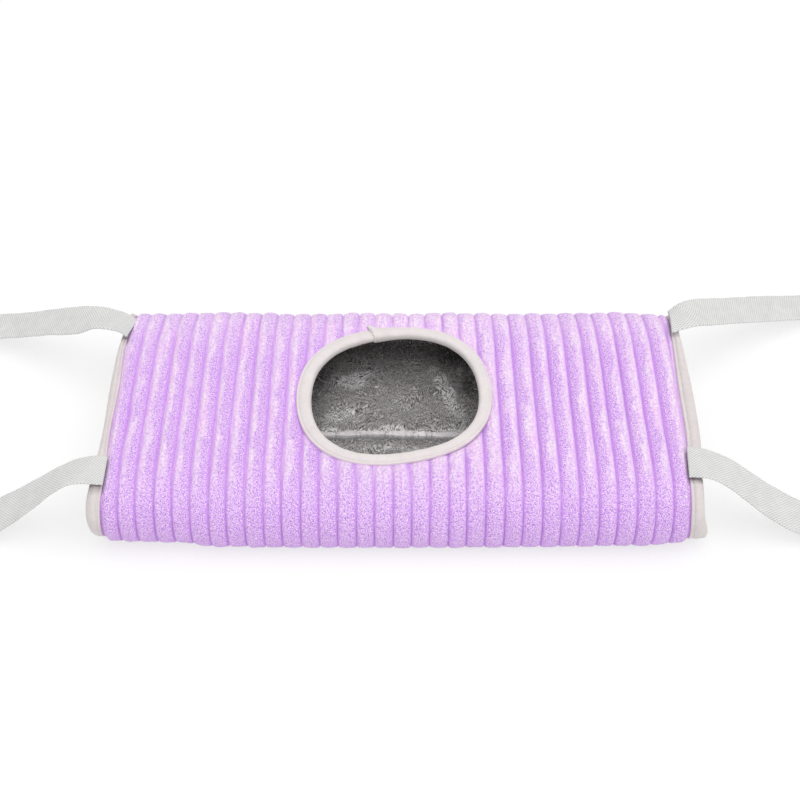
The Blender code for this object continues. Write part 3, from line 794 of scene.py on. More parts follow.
def metal_material(name, colour, scratch):
    """Plated metal: fine rubbed marks and slow smears vary how sharply it reflects."""
    material, shading, shader = start_material(name)
    place = shading.add("TexCoord").outputs["Object"]
    rubbed = shading.noise(shading.scaled(place, (900.0, 2600.0, 900.0)), 1.0, 3.0, 0.6)
    smears = shading.noise(place, 260.0, 3.0, 0.5)
    both = shading.times(rubbed, smears)
    rough = shading.spread(both, 0.1, 0.45, 0.18, 0.18 + scratch)
    shading.link(rough, shader.inputs["Roughness"])
    dull = tuple(channel * 0.8 for channel in colour[:3]) + (1.0,)
    toned = shading.mix(shading.spread(smears, 0.35, 0.7), colour, dull)
    shading.link(toned, shader.inputs["Base Color"])
    shader.inputs["Metallic"].default_value = 1.0
    set_bump(shading, shader, rubbed, 0.15, 0.00004)
    return material


# Settings


def colour_setting(name, description, value):
    return bpy.props.FloatVectorProperty(
        name=name, description=description, subtype="COLOR", size=4, default=value, min=0, max=1
    )


def length_setting(name, description, value, low, high):
    return bpy.props.FloatProperty(
        name=name, description=description, default=value, min=low, max=high, unit="LENGTH"
    )


class HammockClothSettings(bpy.types.PropertyGroup):
    """Corduroy and lining of the tunnel."""

    rib_height: length_setting(
        "Rib height", "Height of a rib's top over the grooves beside it", 0.0022, 0.0, 0.005
    )
    columns_per_rib: bpy.props.IntProperty(
        name="Columns per rib",
        description="Grid columns across one rib",
        default=10,
        min=4,
        max=12,
    )
    rows: bpy.props.IntProperty(
        name="Rows round the ring",
        description="Grid rows round the tunnel",
        default=132,
        min=40,
        max=160,
    )
    light_colour: colour_setting("Light pile", "Pile that catches the light", srgb(255, 236, 255))
    warm_colour: colour_setting("Warm pile", "Pile in the pinker clouds", srgb(253, 208, 255))
    cool_colour: colour_setting("Cool pile", "Pile in the bluer clouds", srgb(242, 207, 255))
    # The deeper pile colour is painted shade on the ribs' inner halves and down the front.
    shade_pile_colour: colour_setting("Deep pile", "Pile that leans away", srgb(219, 161, 249))
    speck_colour: colour_setting("Specks", "Shade between the tufts", srgb(184, 130, 220))
    # The groove colour is the backing and painted shade in the grooves.
    groove_colour: colour_setting("Groove", "Backing between the ribs", srgb(199, 144, 229))
    root_colour: colour_setting(
        "Strap root", "Ribs' edge in the shade of a strap's root", srgb(104, 80, 122)
    )
    lining_colour: colour_setting("Lining", "Plush in plain view", srgb(190, 185, 184))
    lining_dark: colour_setting("Lining, dark", "Between the plush tufts", srgb(42, 40, 42))
    lining_light: colour_setting(
        "Lining, brushed", "Plush brushed against its nap", srgb(252, 250, 250)
    )
    seam_colour: colour_setting("Seam", "Joined edge along the ridge", srgb(255, 248, 251))


class HammockTrimSettings(bpy.types.PropertyGroup):
    """Tapes and straps."""

    strap_width: length_setting("Strap width", "Width of the webbing", 0.020, 0.010, 0.030)
    strap_thickness: length_setting(
        "Strap thickness", "Thickness of the webbing", 0.0012, 0.0005, 0.003
    )
    tape_colour: colour_setting("Window tape", "Tape round the window", srgb(231, 225, 224))
    tape_shade: colour_setting(
        "Window tape, shade", "Between the tape's threads", srgb(212, 203, 203)
    )
    # The end tapes are the same tape as round the window; both of their colours are painted darker as
    # shade.
    end_tape_shaded_colour: colour_setting("End tape", "Tape round the two ends", srgb(226, 219, 218))
    end_tape_shade: colour_setting(
        "End tape, shade", "Between the end tape's threads", srgb(199, 191, 190)
    )
    strap_colour: colour_setting("Strap", "Webbing", srgb(233, 233, 232))
    strap_shade: colour_setting(
        "Strap, shade", "Between the webbing's threads", srgb(160, 161, 159)
    )


class HammockStageSettings(bpy.types.PropertyGroup):
    """Camera, light and floor."""

    elevation: bpy.props.FloatProperty(
        name="Camera elevation", description="Angle of the view under the horizon",
        default=math.radians(45.449), subtype="ANGLE",
    )
    distance: bpy.props.FloatProperty(
        name="Camera distance", description="From the aimed point", default=0.7659,
        unit="LENGTH",
    )
    aim: bpy.props.FloatVectorProperty(
        name="Aimed point", description="Point at the middle of the picture", size=3,
        default=(0.002056, -0.003895, 0.041), subtype="TRANSLATION", unit="LENGTH",
    )
    lens: bpy.props.FloatProperty(
        name="Lens", description="Focal length on a 36 mm wide sensor, in millimetres",
        default=67.935, min=10, max=300,
    )
    floor_colour: colour_setting("Floor", "Plain pale floor", (0.97, 0.97, 0.97, 1.0))
    key_strength: bpy.props.FloatProperty(
        name="Key light", description="Strength of the main soft lamp", default=1.82, min=0,
    )
    fill_strength: bpy.props.FloatProperty(
        name="Surrounding light", description="Strength of the light from all round",
        default=0.55, min=0,
    )
    floor_lift: bpy.props.FloatProperty(
        name="Floor lift",
        description="Share of plain white in the floor as the camera sees it",
        default=0.7, min=0, max=1, subtype="FACTOR",
    )


class HammockSettings(bpy.types.PropertyGroup):
    cloth: bpy.props.PointerProperty(type=HammockClothSettings)
    trim: bpy.props.PointerProperty(type=HammockTrimSettings)
    stage: bpy.props.PointerProperty(type=HammockStageSettings)


def shared_groups():
    """The node groups that several materials use, made once."""
    found = {name: bpy.data.node_groups.get(name) for name in ("pile", "weave")}
    return {
        "pile": found["pile"] or pile_group(),
        "weave": found["weave"] or weave_group(),
    }


def named_material(name, make):
    return bpy.data.materials.get(name) or make()


def tape_finish(name, colour, shade):
    """Material of a folded tape."""
    colours = (colour, shade, srgb(*SEAM_SHADE))
    return tape_material(shared_groups(), name, colours, 2300.0, 0.0, 0.3, 0.3, 0.3, 0.00003)


# Stage


def seen_plainly(shading):
    """1 for rays of the camera, of reflections and through clear pieces, 0 for light."""
    path = shading.add("LightPath").outputs
    seen = shading.math("MAXIMUM", path["Is Camera Ray"], path["Is Glossy Ray"])
    return shading.math("MAXIMUM", seen, path["Is Transmission Ray"])


class HAMMOCK_OT_stage(bpy.types.Operator):
    """Add the pale floor, soft light and camera."""

    bl_idname = "hammock.stage"
    bl_label = "Stage"

    def execute(self, context):
        stage = context.scene.hammock.stage
        self.add_floor(stage)
        self.add_light(context, stage)
        self.add_camera(context, stage)
        context.scene.view_settings.view_transform = "Standard"
        return {"FINISHED"}

    def add_floor(self, stage):
        reach = 6.0
        corners = np.array([(-1, -1, 0), (1, -1, 0), (1, 1, 0), (-1, 1, 0)], float) * reach
        floor = add_mesh("floor", corners, np.array([[0, 1, 2, 3]]))
        material, shading, shader = start_material("pale_floor")
        shader.inputs["Base Color"].default_value = stage.floor_colour
        shader.inputs["Roughness"].default_value = 1.0
        shader.inputs["Specular IOR Level"].default_value = 0.0
        white = shading.add("Emission", {"Color": (1.0, 1.0, 1.0, 1.0), "Strength": 1.0})
        share = shading.times(seen_plainly(shading), stage.floor_lift)
        lifted = shading.add("MixShader", {0: share})
        shading.link(shader.outputs[0], lifted.inputs[1])
        shading.link(white.outputs[0], lifted.inputs[2])
        result = material.node_tree.nodes["Material Output"].inputs["Surface"]
        shading.link(lifted.outputs[0], result)
        floor.data.materials.append(material)

    def add_light(self, context, stage):
        world = bpy.data.worlds.new("studio")
        context.scene.world = world
        world.use_nodes = True
        shading = Shading(world.node_tree)
        strength = shading.add(
            "Mix", {0: seen_plainly(shading), 2: stage.fill_strength, 3: 1.0}, data_type="FLOAT"
        )
        background = world.node_tree.nodes["Background"]
        background.inputs["Color"].default_value = (1.0, 1.0, 1.0, 1.0)
        shading.link(strength.outputs[0], background.inputs["Strength"])
        lamp = bpy.data.lights.new("key_lamp", "SUN")
        lamp.energy = stage.key_strength
        lamp.angle = math.radians(64.0)
        item = bpy.data.objects.new("key_lamp", lamp)
        item.rotation_euler = Vector((0.16, -0.20, 1.0)).to_track_quat("Z", "Y").to_euler()
        context.scene.collection.objects.link(item)

    def add_camera(self, context, stage):
        """Aimed level at the given point from in front and above."""
        camera = bpy.data.cameras.new("photo_camera")
        camera.lens = stage.lens
        camera.sensor_width = 36.0
        camera.clip_start = 0.01
        item = bpy.data.objects.new("photo_camera", camera)
        back = Vector((0, -math.cos(stage.elevation), math.sin(stage.elevation)))
        item.location = Vector(stage.aim) + back * stage.distance
        item.rotation_euler = (math.pi / 2 - stage.elevation, 0, 0)
        context.scene.collection.objects.link(item)
        context.scene.camera = item


# Tunnel layers


def layer_ends(travel, margin):
    """x of a layer's left and right ends, by a margin inside the end tapes' outer edges."""
    left = end_value(LEFT_LINE_MM, travel) - end_value(LEFT_WIDTH_MM, travel) + margin
    right = end_value(RIGHT_LINE_MM, travel) + end_value(RIGHT_WIDTH_MM, travel) - margin
    return left, right


def layer_columns(count_per_rib, travel):
    """x of a layer's grid: columns close to the grooves, from under one end tape to under
    the other. Each row runs between its own groove lines."""
    shares = np.linspace(0, 1, count_per_rib, endpoint=False)
    shares = shares - GROOVE_CROWDING * np.sin(math.tau * shares)
    inner = np.arange(1, RIB_COUNT - 1)
    index = (inner[:, None] + shares[None, :]).ravel()
    index = np.append(index, RIB_COUNT - 1)
    low = np.floor(index).astype(int)
    part = index - low
    left = groove_line(low[None, :], travel[:, None])
    right = groove_line(np.minimum(low + 1, RIB_COUNT)[None, :], travel[:, None])
    middle = left + (right - left) * part[None, :]
    left_end, right_end = layer_ends(travel, CORDUROY_TUCK)
    extra = np.linspace(0, 1, count_per_rib + 8, endpoint=False)
    before = left_end[:, None] + (middle[:, :1] - left_end[:, None]) * extra
    after = right_end[:, None] + (middle[:, -1:] - right_end[:, None]) * extra
    return np.concatenate([before, middle, after[:, ::-1]], axis=1)


def rib_share(x, travel):
    """Where x lies across its rib, from 0 at the groove on its left to 1 at the next."""
    index = np.clip(np.floor(x / RIB_PITCH + RIB_COUNT / 2).astype(int), -1, RIB_COUNT)
    for _ in range(2):
        index = index - (x < groove_line(index, travel)) + (x >= groove_line(index + 1, travel))
    left, right = groove_line(index, travel), groove_line(index + 1, travel)
    return (x - left) / np.maximum(right - left, 1e-6), index


def beyond_line(x, travel):
    """Distance past the nearer end line, negative on the ribs' side."""
    left = end_value(LEFT_LINE_MM, travel) - x
    right = x - end_value(RIGHT_LINE_MM, travel)
    return np.maximum(left, right)


def inward_share(x, share):
    """Where x lies across its rib, counted from the rib's outer side towards the window's
    middle line, and lowered near that line, where the ribs' painted sheen and painted shade
    swap sides. The value sets which half of a rib is painted pale and which deeper."""
    parted = 1 - ease(np.abs(x - SHEEN_SWAP_X), 0.012, 0.060)
    return np.where(x < SHEEN_SWAP_X, share, 1 - share) - 0.4 * parted


def root_shadow(x, travel):
    """1 along the ribs' edge where a strap is sewn in, fading within 2 mm."""
    past = beyond_line(x, travel) - 0.0003
    return strap_dent(x, travel) * np.exp(-((past / 0.0010) ** 2))


class HAMMOCK_OT_corduroy(bpy.types.Operator):
    """Add the ribbed outer sleeve with its round window."""

    bl_idname = "hammock.corduroy"
    bl_label = "Corduroy sleeve"

    def execute(self, context):
        cloth = context.scene.hammock.cloth
        travel = np.linspace(0, RING_LENGTH, cloth.rows, endpoint=False)
        x = layer_columns(cloth.columns_per_rib, travel)
        travel = np.broadcast_to(travel[:, None], x.shape)
        share, index = rib_share(x, travel)
        flat_top = ease(np.abs(travel - TOP_MIDDLE), FLAT_HALF - 0.010, FLAT_HALF + 0.020)
        round_top = np.maximum(1 - np.abs(2 * share - 1) ** (2.6 + 1.6 * flat_top), 0)
        round_top = round_top ** (0.72 - 0.14 * flat_top)
        outside = from_opening(x, travel)
        by_window = ease(outside, window_clear(x, travel) - 0.0008, window_clear(x, travel) + 0.0030)
        past = beyond_line(x, travel)
        by_end = 1 - ease(past, -0.0026, -0.0006)
        free = by_window * by_end
        height = cloth.rib_height * round_top * (0.12 + 0.88 * free) * (1 - 0.2 * flat_top)
        unlike = 1 + 0.10 * np.sin(index * 2.4 + 1.0)
        bumps = 0.00011 * ripple(x, travel * 0.7, 0.0055, 9, 9) * round_top * free
        low_front = np.exp(-(((travel - FRONT_LOW - 0.014) / 0.012) ** 2))
        shallow = 1 - 0.45 * low_front
        depth = (cloth.rib_height - height * unlike) * shallow + bumps + settle(x, travel)
        depth = depth + 0.0002 * (1 - free)
        thick = 0.0004 + 0.0006 * free
        lowest = 0.0026 + 0.0006 * free + settle(x, travel)
        inner = np.maximum(lowest, depth + thick * 0.5)
        keep = outside > WINDOW_CUT
        unrolled = np.stack([x, travel], axis=-1)
        item = layer_shell(
            "corduroy_sleeve", x, travel, depth, inner, keep,
            {
                "surface": unrolled,
                # The rib value is lowered beside the window and end tapes, which paints shade there in
                # the groove colour.
                "rib": round_top * (0.35 + 0.65 * by_window) * (0.6 + 0.4 * by_end),
                # Painted sheen and shade: which half of each rib is painted pale and which deeper.
                "sheen_side": inward_share(x, share) * by_end * (1 - 0.08 * (x > 0)),
                "shadow": root_shadow(x, travel),
                # Painted shade down the front; the top's painted split of sheen and shade is halved
                # down the back, so the rear rows are painted paler.
                "front_shade": 1 - ease(travel, FRONT_HIGH - 0.022, FRONT_HIGH + 0.012),
                "sheen_split": ease(travel, FRONT_HIGH - 0.022, FRONT_HIGH + 0.012)
                * (1 - 0.5 * ease(travel, BACK_HIGH - 0.030, BACK_HIGH + 0.005)),
            },
        )
        material = corduroy_material(shared_groups(), cloth)
        finish_piece(item, material, "sleeve", ("outer_sleeve",))
        return {"FINISHED"}


def window_clear(x, travel):
    """Distance from the opening's edge to the window tape's outer edge."""
    return window_tape_width(np.arctan2(travel - TOP_MIDDLE - WINDOW_BACK, x))


def pressed(x, travel):
    """1 where the layers have their full thickness, 0 where they are sewn flat at the
    window and under the end tapes."""
    window = ease(from_opening(x, travel), 0.0035, 0.016)
    return window * (1 - 0.35 * ease(beyond_line(x, travel), -0.006, 0.0))


def inner_grid(rows, step_columns, margin):
    """x and travel of a plain layer's grid between the end tapes."""
    travel = np.linspace(0, RING_LENGTH, rows, endpoint=False)
    left, right = layer_ends(travel, margin)
    share = np.linspace(0, 1, step_columns)
    x = left[:, None] + (right - left)[:, None] * share[None, :]
    return x, np.broadcast_to(travel[:, None], x.shape)


class HAMMOCK_OT_wadding(bpy.types.Operator):
    """Add the wadding between the corduroy and the lining."""

    bl_idname = "hammock.wadding"
    bl_label = "Wadding"

    def execute(self, context):
        x, travel = inner_grid(110, 130, 0.0022)
        full = pressed(x, travel)
        outer = 0.0028 + 0.0007 * full + settle(x, travel)
        inner = outer + 0.0003 + 0.0017 * full
        keep = from_opening(x, travel) > WINDOW_CUT
        unrolled = np.stack([x, travel], axis=-1)
        item = layer_shell("wadding_layer", x, travel, outer, inner, keep, {"surface": unrolled})
        finish_piece(item, wadding_material(), "sleeve", ("wadding",))
        return {"FINISHED"}


# Places on the lining painted paler or darker: x and travel from the underside's middle
# towards the back, half widths both ways, in millimetres, and how pale or dark it turned.
# Pale places are patches brushed against the nap; most dark places are painted shade inside
# the tunnel, along the back under the window's rim, at its sides and in front of the seam ridge
BRUSHED_AND_SHADE_MM = (
    (-25, 43, 7, 5, 1.0), (-18, 49, 6, 4, 0.4), (-28, 18, 8, 7, 0.42), (-37, 15, 5, 6, 0.3),
    (20, 53, 4, 5, 0.5), (25, 43, 4, 7, 0.7), (29, 32, 4, 7, 0.75), (31, 22, 6, 5, 0.45),
    (35, 52, 1.8, 6, 0.8), (-1, 8, 7, 2.5, 0.9), (-36, 6, 7, 2.5, 0.6), (26, 8, 10, 3, 0.4),
    (-12, -6, 18, 3, 0.34), (16, -7, 16, 3, 0.28), (2, 25, 16, 9, 0.2),
    (39, 38, 5, 9, -1.0), (32, 64, 9, 8, -0.8), (-43, 50, 9, 12, -0.9), (-47, 30, 7, 12, -0.7),
    (0, 73, 90, 11, -0.55), (0, -0.9, 60, 0.9, -0.6), (12, 38, 5, 6, -0.2), (36, 14, 5, 6, 0.3),
)


def brushed_and_shaded_pile(x, travel):
    """Sum of the brushed places and painted shade, each e to the power of minus its squared distance.
    """
    back = RING_LENGTH - travel
    back = np.where(back > RING_LENGTH / 2, back - RING_LENGTH, back)
    total = 0.0
    for middle, place, half, deep, share in BRUSHED_AND_SHADE_MM:
        across = (x * 1000 - middle) / half
        along = (back * 1000 - place) / deep
        total = total + share * np.exp(-(across**2) - along**2)
    return total * (1 + 0.12 * ripple(x, travel, 0.008, 12, 7))


class HAMMOCK_OT_lining(bpy.types.Operator):
    """Add the plush lining with its seam ridge."""

    bl_idname = "hammock.lining"
    bl_label = "Lining"

    def execute(self, context):
        cloth = context.scene.hammock.cloth
        x, travel = inner_grid(200, 220, 0.0024)
        full = pressed(x, travel)
        outer = 0.0032 + 0.0026 * full + settle(x, travel)
        seam_travel = RING_LENGTH - SEAM_BACK
        wander = 0.0003 * ripple(x, 0 * x, 0.03, 5, 4)
        away = travel - seam_travel - wander
        dip = 0.35 * np.exp(-(((away - 0.0042) / 0.0016) ** 2))
        ridge = 1.2 * np.exp(-((away / 0.0019) ** 2)) - dip
        soft = 0.0002 * ripple(x, travel, 0.02, 6) + 0.00012 * ripple(x, travel, 0.007, 7, 9)
        inner = outer + 0.0005 + 0.0013 * full + (0.0014 * ridge + soft) * full
        keep = from_opening(x, travel) > WINDOW_CUT
        unrolled = np.stack([x, travel], axis=-1)
        seam = np.exp(-(((away + 0.0002) / 0.0029) ** 4))
        seam = seam * (1.06 + 0.2 * ripple(x, 0 * x, 0.004, 8, 5))
        item = layer_shell(
            "plush_lining", x, travel, outer, inner, keep,
            {"surface": unrolled, "seam": seam, "brushed_and_shade": brushed_and_shaded_pile(x, travel)},
        )
        material = plush_material(shared_groups(), cloth)
        finish_piece(item, material, "sleeve", ("lining_sleeve",))
        return {"FINISHED"}


# Tapes

TAPE_WIDTH_MM = 7

# End tape's section: shares of its width beyond the line, and depths in millimetres
END_TAPE_OUTSIDE = (
    (0.00, 2.0), (0.00, 1.25), (0.05, 0.80), (0.14, 0.78), (0.20, 1.05), (0.27, 0.50),
    (0.42, 0.02), (0.60, 0.35), (0.80, 1.50), (0.94, 3.10), (1.00, 4.90), (0.96, 6.70),
    (0.84, 8.00), (0.62, 8.80), (0.30, 9.00), (0.05, 9.00), (-0.08, 8.85), (-0.12, 8.45),
)
# Window tape's section: shares of its width from its outer edge inwards, and depths
WINDOW_TAPE_OUTSIDE = (
    (0.00, 2.2), (0.00, 1.20), (0.04, 0.66), (0.11, 0.52), (0.16, 0.76), (0.23, 0.16),
    (0.42, -0.30), (0.62, -0.36), (0.82, -0.12), (0.95, 0.62), (1.01, 1.90), (1.00, 3.00),
    (0.90, 3.60), (0.70, 3.95), (0.36, 4.00), (0.16, 3.95), (0.13, 3.80),
)


# Where the front edge of each strap meets the tape, in metres towards the front from the
# middle of its root
STRAP_EDGES = {
    "front_left": 0.0060, "front_right": 0.0076, "rear_left": 0.0068, "rear_right": 0.0017,
}


def along_outline(outline):
    """Length along a tape's outline, in millimetres, its width taken as 7 mm."""
    steps = np.diff(outline * (TAPE_WIDTH_MM, 1), axis=0)
    return np.concatenate([[0], np.cumsum(np.hypot(*steps.T))])


def edge_shadow(side, travel):
    """1 on the tape along the front edges of its straps, fading within 1 mm."""
    shade = 0.0
    for corner, edge in STRAP_EDGES.items():
        strap_side, root_share, *_ = STRAP_ROUTES[corner]
        away = travel - TOP_MIDDLE - root_share * FLAT_HALF + edge
        shade = np.maximum(shade, np.exp(-((away / 0.0009) ** 2)) * (side == strap_side))
    return shade


class HAMMOCK_OT_end_tapes(bpy.types.Operator):
    """Add the tapes rolled round the two open ends."""

    bl_idname = "hammock.end_tapes"
    bl_label = "End tapes"

    def execute(self, context):
        trim = context.scene.hammock.trim
        # Painted shade: the end tapes use darker copies of the window tape's colours.
        material = tape_finish("end_tape", trim.end_tape_shaded_colour, trim.end_tape_shade)
        outline = smooth_outline(END_TAPE_OUTSIDE, 3)
        for label, side, line, width in (
            ("left", -1, LEFT_LINE_MM, LEFT_WIDTH_MM),
            ("right", 1, RIGHT_LINE_MM, RIGHT_WIDTH_MM),
        ):
            travel = np.linspace(0, RING_LENGTH, 330, endpoint=False)[:, None]
            start, wide = end_value(line, travel), end_value(width, travel)
            share, depth = outline[:, 0][None, :], outline[:, 1][None, :] / 1000
            x = start + side * wide * share
            turned_up = np.exp(-(((share - 0.5) / 0.45) ** 2))
            wrinkle = 0.00010 * ripple(x * 0.3, travel, 0.016, 21 + side, 6)
            wrinkle = wrinkle + 0.00005 * ripple(x * 0.2, travel, 0.005, 31 + side, 6)
            dent = 0.0013 * strap_dent(x, travel) * turned_up
            square = np.exp(-(((travel - FRONT_LOW - 0.012) / 0.012) ** 2)) * (side > 0)
            square = square * ease(share, 0.5, 0.95) * ease(-depth, -0.0066, -0.0046)
            depth = depth - 0.0022 * square
            depth = depth + wrinkle * turned_up + dent + settle(x, travel)
            slot_wall = start + side * (wide - 0.0013)
            inside = [
                (start - side * wide * 0.12, 0.0079),
                (slot_wall, 0.0079),
                (slot_wall, 0.0023),
                (start, 0.0023),
            ]
            columns = [ring_place(x, travel, depth)]
            for place_x, place_depth in inside:
                at = ring_place(place_x, travel, place_depth + settle(place_x, travel))
                columns.append(at)
            points = np.concatenate(columns, axis=1)
            if side < 0:
                points = points[:, ::-1]
            around = along_outline(outline)
            around = np.append(around, around[-1] + np.array((1.0, 8.0, 13.0, 20.0))) / 1000
            if side < 0:
                around = around[::-1]
            unrolled = np.stack(np.broadcast_arrays(around[None, :], travel), axis=-1)
            shadow = np.broadcast_to(edge_shadow(side, travel), unrolled.shape[:2])
            name = label + "_end_tape"
            item = carried(name, points, True, unrolled, {"shadow": shadow})
            finish_piece(item, material, "sleeve", (label + "_end_binding",))
        return {"FINISHED"}


class HAMMOCK_OT_window_tape(bpy.types.Operator):
    """Add the tape rolled round the window, with its overlapped join."""

    bl_idname = "hammock.window_tape"
    bl_label = "Window tape"

    def execute(self, context):
        outline = smooth_outline(WINDOW_TAPE_OUTSIDE, 3)
        slot = np.array([(0.13, 3.5), (0.70, 3.5), (0.70, 2.2)])
        outline = np.concatenate([outline, slot])
        start = math.radians(WINDOW_JOIN_DEG - WINDOW_OVERLAP_DEG)
        angle = np.linspace(start, start + math.tau + math.radians(WINDOW_OVERLAP_DEG), 400)[:, None]
        share, depth = outline[:, 0][None, :], outline[:, 1][None, :] / 1000
        lifted = ease(angle, angle[-1] - 0.30, angle[-1] - 0.13)
        sunk = 1 - ease(angle, start + 0.16, start + 0.34)
        grow = 0.22 * lifted - 0.16 * sunk
        share = 0.5 + (share - 0.5) * (1 + 0.34 * grow)
        depth = 0.0018 + (depth - 0.0018) * (1 + grow)
        wide = window_tape_width(angle)
        inner = opening_radius(angle)
        pucker = 0.00010 * np.sin(angle * 47 + 2 * np.sin(angle * 5))
        pucker = pucker + 0.00012 * ripple(angle * 0.045, share * 0.004, 0.012, 41, 6)
        crown = np.exp(-(((share - 0.62) / 0.35) ** 2))
        radius = inner + wide * (1 - share)
        height = depth + pucker * crown
        end = ease(angle, angle[-1] - 0.10, angle[-1]) ** 1.5 * np.clip(1 - share * 2.2, 0, 1) ** 1.2
        top = ease(-depth, -0.0020, -0.0008)
        tip = end * top
        radius = radius + 0.0024 * tip
        height = height - 0.0018 * tip
        angle_at = angle + 0.022 * tip + 0.006 * np.sin(share * 19) * (angle > angle[-1] - 0.01)
        x = radius * np.cos(angle_at)
        y = WINDOW_BACK + radius * np.sin(angle_at)
        z = 2 * ARC_RADIUS - height
        z = z - 0.0006 * ease(np.abs(y), 0.046, 0.058)
        points = np.stack(np.broadcast_arrays(x, y, z), axis=-1)
        around = along_outline(outline)
        around = around / 1000
        along = angle * 0.047
        unrolled = np.stack(np.broadcast_arrays(around[None, :], along), axis=-1)
        item = carried("window_tape", points[:, ::-1], False, unrolled[:, ::-1])
        trim = context.scene.hammock.trim
        material = tape_finish("window_tape", trim.tape_colour, trim.tape_shade)
        finish_piece(item, material, "sleeve", ("window_binding",))
        return {"FINISHED"}


# Straps


def strap_route(side, root_share, heading_deg, pitches, rolls):
    """Frames of a strap's middle line: the point, the unit vector to its back edge and the
    one through its face. It advances by equal steps at the mean of neighbouring pitches,
    all scaled by the factor that ends the run at its height; then it climbs, turns round
    the eye's bar and comes back under itself."""
    heading = math.radians(heading_deg)
    out = np.array((side * math.cos(heading), math.sin(heading), 0.0))
    across = np.array((-side * math.sin(heading), math.cos(heading), 0.0))
    up = np.array((0.0, 0.0, 1.0))
    root = np.array((side * ROOT_X, root_share * FLAT_HALF, ROOT_HEIGHT))
    pitch = np.radians(pitches)
    roll = np.radians(rolls)
    step = STRAP_RUN / (len(pitch) - 1)
    middle = (pitch[1:] + pitch[:-1]) / 2
    low, high = 0.0, 3.0
    for _ in range(40):
        factor = (low + high) / 2
        if step * np.sin(middle * factor).sum() > RUN_END_HEIGHT - ROOT_HEIGHT:
            low = factor
        else:
            high = factor
    pitch, middle = pitch * factor, middle * factor
    moves = out * np.cos(middle)[:, None] + up * np.sin(middle)[:, None]
    run = root + np.concatenate([np.zeros((1, 3)), np.cumsum(moves * step, axis=0)])
    slope = math.radians(FOLD_SLOPE_DEG)
    touch = EYE_HEIGHT + LOOP_RADIUS * math.cos(slope)
    climb = (touch - RUN_END_HEIGHT) / math.tan(slope)
    eye = run[-1] + out * (climb + LOOP_RADIUS * math.sin(slope))
    eye[2] = EYE_HEIGHT
    fold_pitch = slope - (math.pi + slope) * np.linspace(0, 1, 13)
    outward = up * np.cos(fold_pitch)[:, None] - out * np.sin(fold_pitch)[:, None]
    fold = eye + outward * LOOP_RADIUS
    back = eye - up * LOOP_RADIUS - out * (STRAP_RETURN * np.array((0.25, 0.5, 0.75, 1.0)))[:, None]
    points = np.concatenate([run, fold, back])
    pitch = np.concatenate([pitch, fold_pitch, np.full(4, -math.pi)])
    roll = np.concatenate([roll, np.zeros(17)])
    normal = up * np.cos(pitch)[:, None] - out * np.sin(pitch)[:, None]
    wide = across * np.cos(roll)[:, None] + normal * np.sin(roll)[:, None]
    thick = normal * np.cos(roll)[:, None] - across * np.sin(roll)[:, None]
    wide[0] += out * math.tan(heading)
    return {"points": points, "wide": wide, "thick": thick, "out": out, "root": root, "eye": eye}


# How far each strap is tucked inwards of its hinge, how far back its seam lies, how its seam
# tilts over the tunnel's edge, in degrees, how far its front corner stands out past its rear
# one, how far its rear corner is drawn down, and how it tilts on its arch, in degrees
STRAP_ROOTS = {
    "front_left": (0.0032, 0.0008, -4, 0.0, 0.0, 0),
    "front_right": (0.0010, 0.0006, 0, -0.0014, 0.0, 0),
    "rear_left": (0.0067, 0.0010, -13, 0.0042, 0.0, 13),
    "rear_right": (-0.0064, -0.0008, -2, -0.0071, 0.0042, 9),
}


def tucked_route(corner, route):
    """The route led in under the ribs' edge, shifted and tilted near its seam: the part of
    each that remains is 1 at the seam and eases to 0 within 40 mm."""
    tuck, shift, tilt_deg, *_, arch_deg = STRAP_ROOTS[corner]
    out, root = route["out"], route["root"]
    lead = np.array((0.0060, 0.0028))[:, None]
    drop = np.array((0.0022, 0.0006))[:, None]
    first = root - out * lead - np.array((0.0, 0.0, 1.0)) * drop
    points = np.concatenate([first, route["points"]])
    wide = np.concatenate([route["wide"][[0, 0]], route["wide"]])
    thick = np.concatenate([route["thick"][[0, 0]], route["thick"]])
    lengths = np.concatenate([[0], np.cumsum(np.linalg.norm(np.diff(points, axis=0), axis=1))])
    at = np.linspace(lead[0, 0] - tuck, lengths[-1], 230)
    remains = 1 - ease(at - lead[0, 0], 0.002, 0.040)[:, None]
    points = through(lengths, points, at) + np.array((0.0, shift, 0.0)) * remains
    wide, thick = through(lengths, wide, at), through(lengths, thick, at)
    arch = np.exp(-(((at - lead[0, 0] - 0.024) / 0.018) ** 2))[:, None]
    tilt = math.radians(tilt_deg) * remains + math.radians(arch_deg) * arch
    points = points - np.array((0.0, 0.0012, 0.0)) * arch * (arch_deg > 0)
    turned = wide * np.cos(tilt) + thick * np.sin(tilt)
    return at, points, turned, thick * np.cos(tilt) - wide * np.sin(tilt)


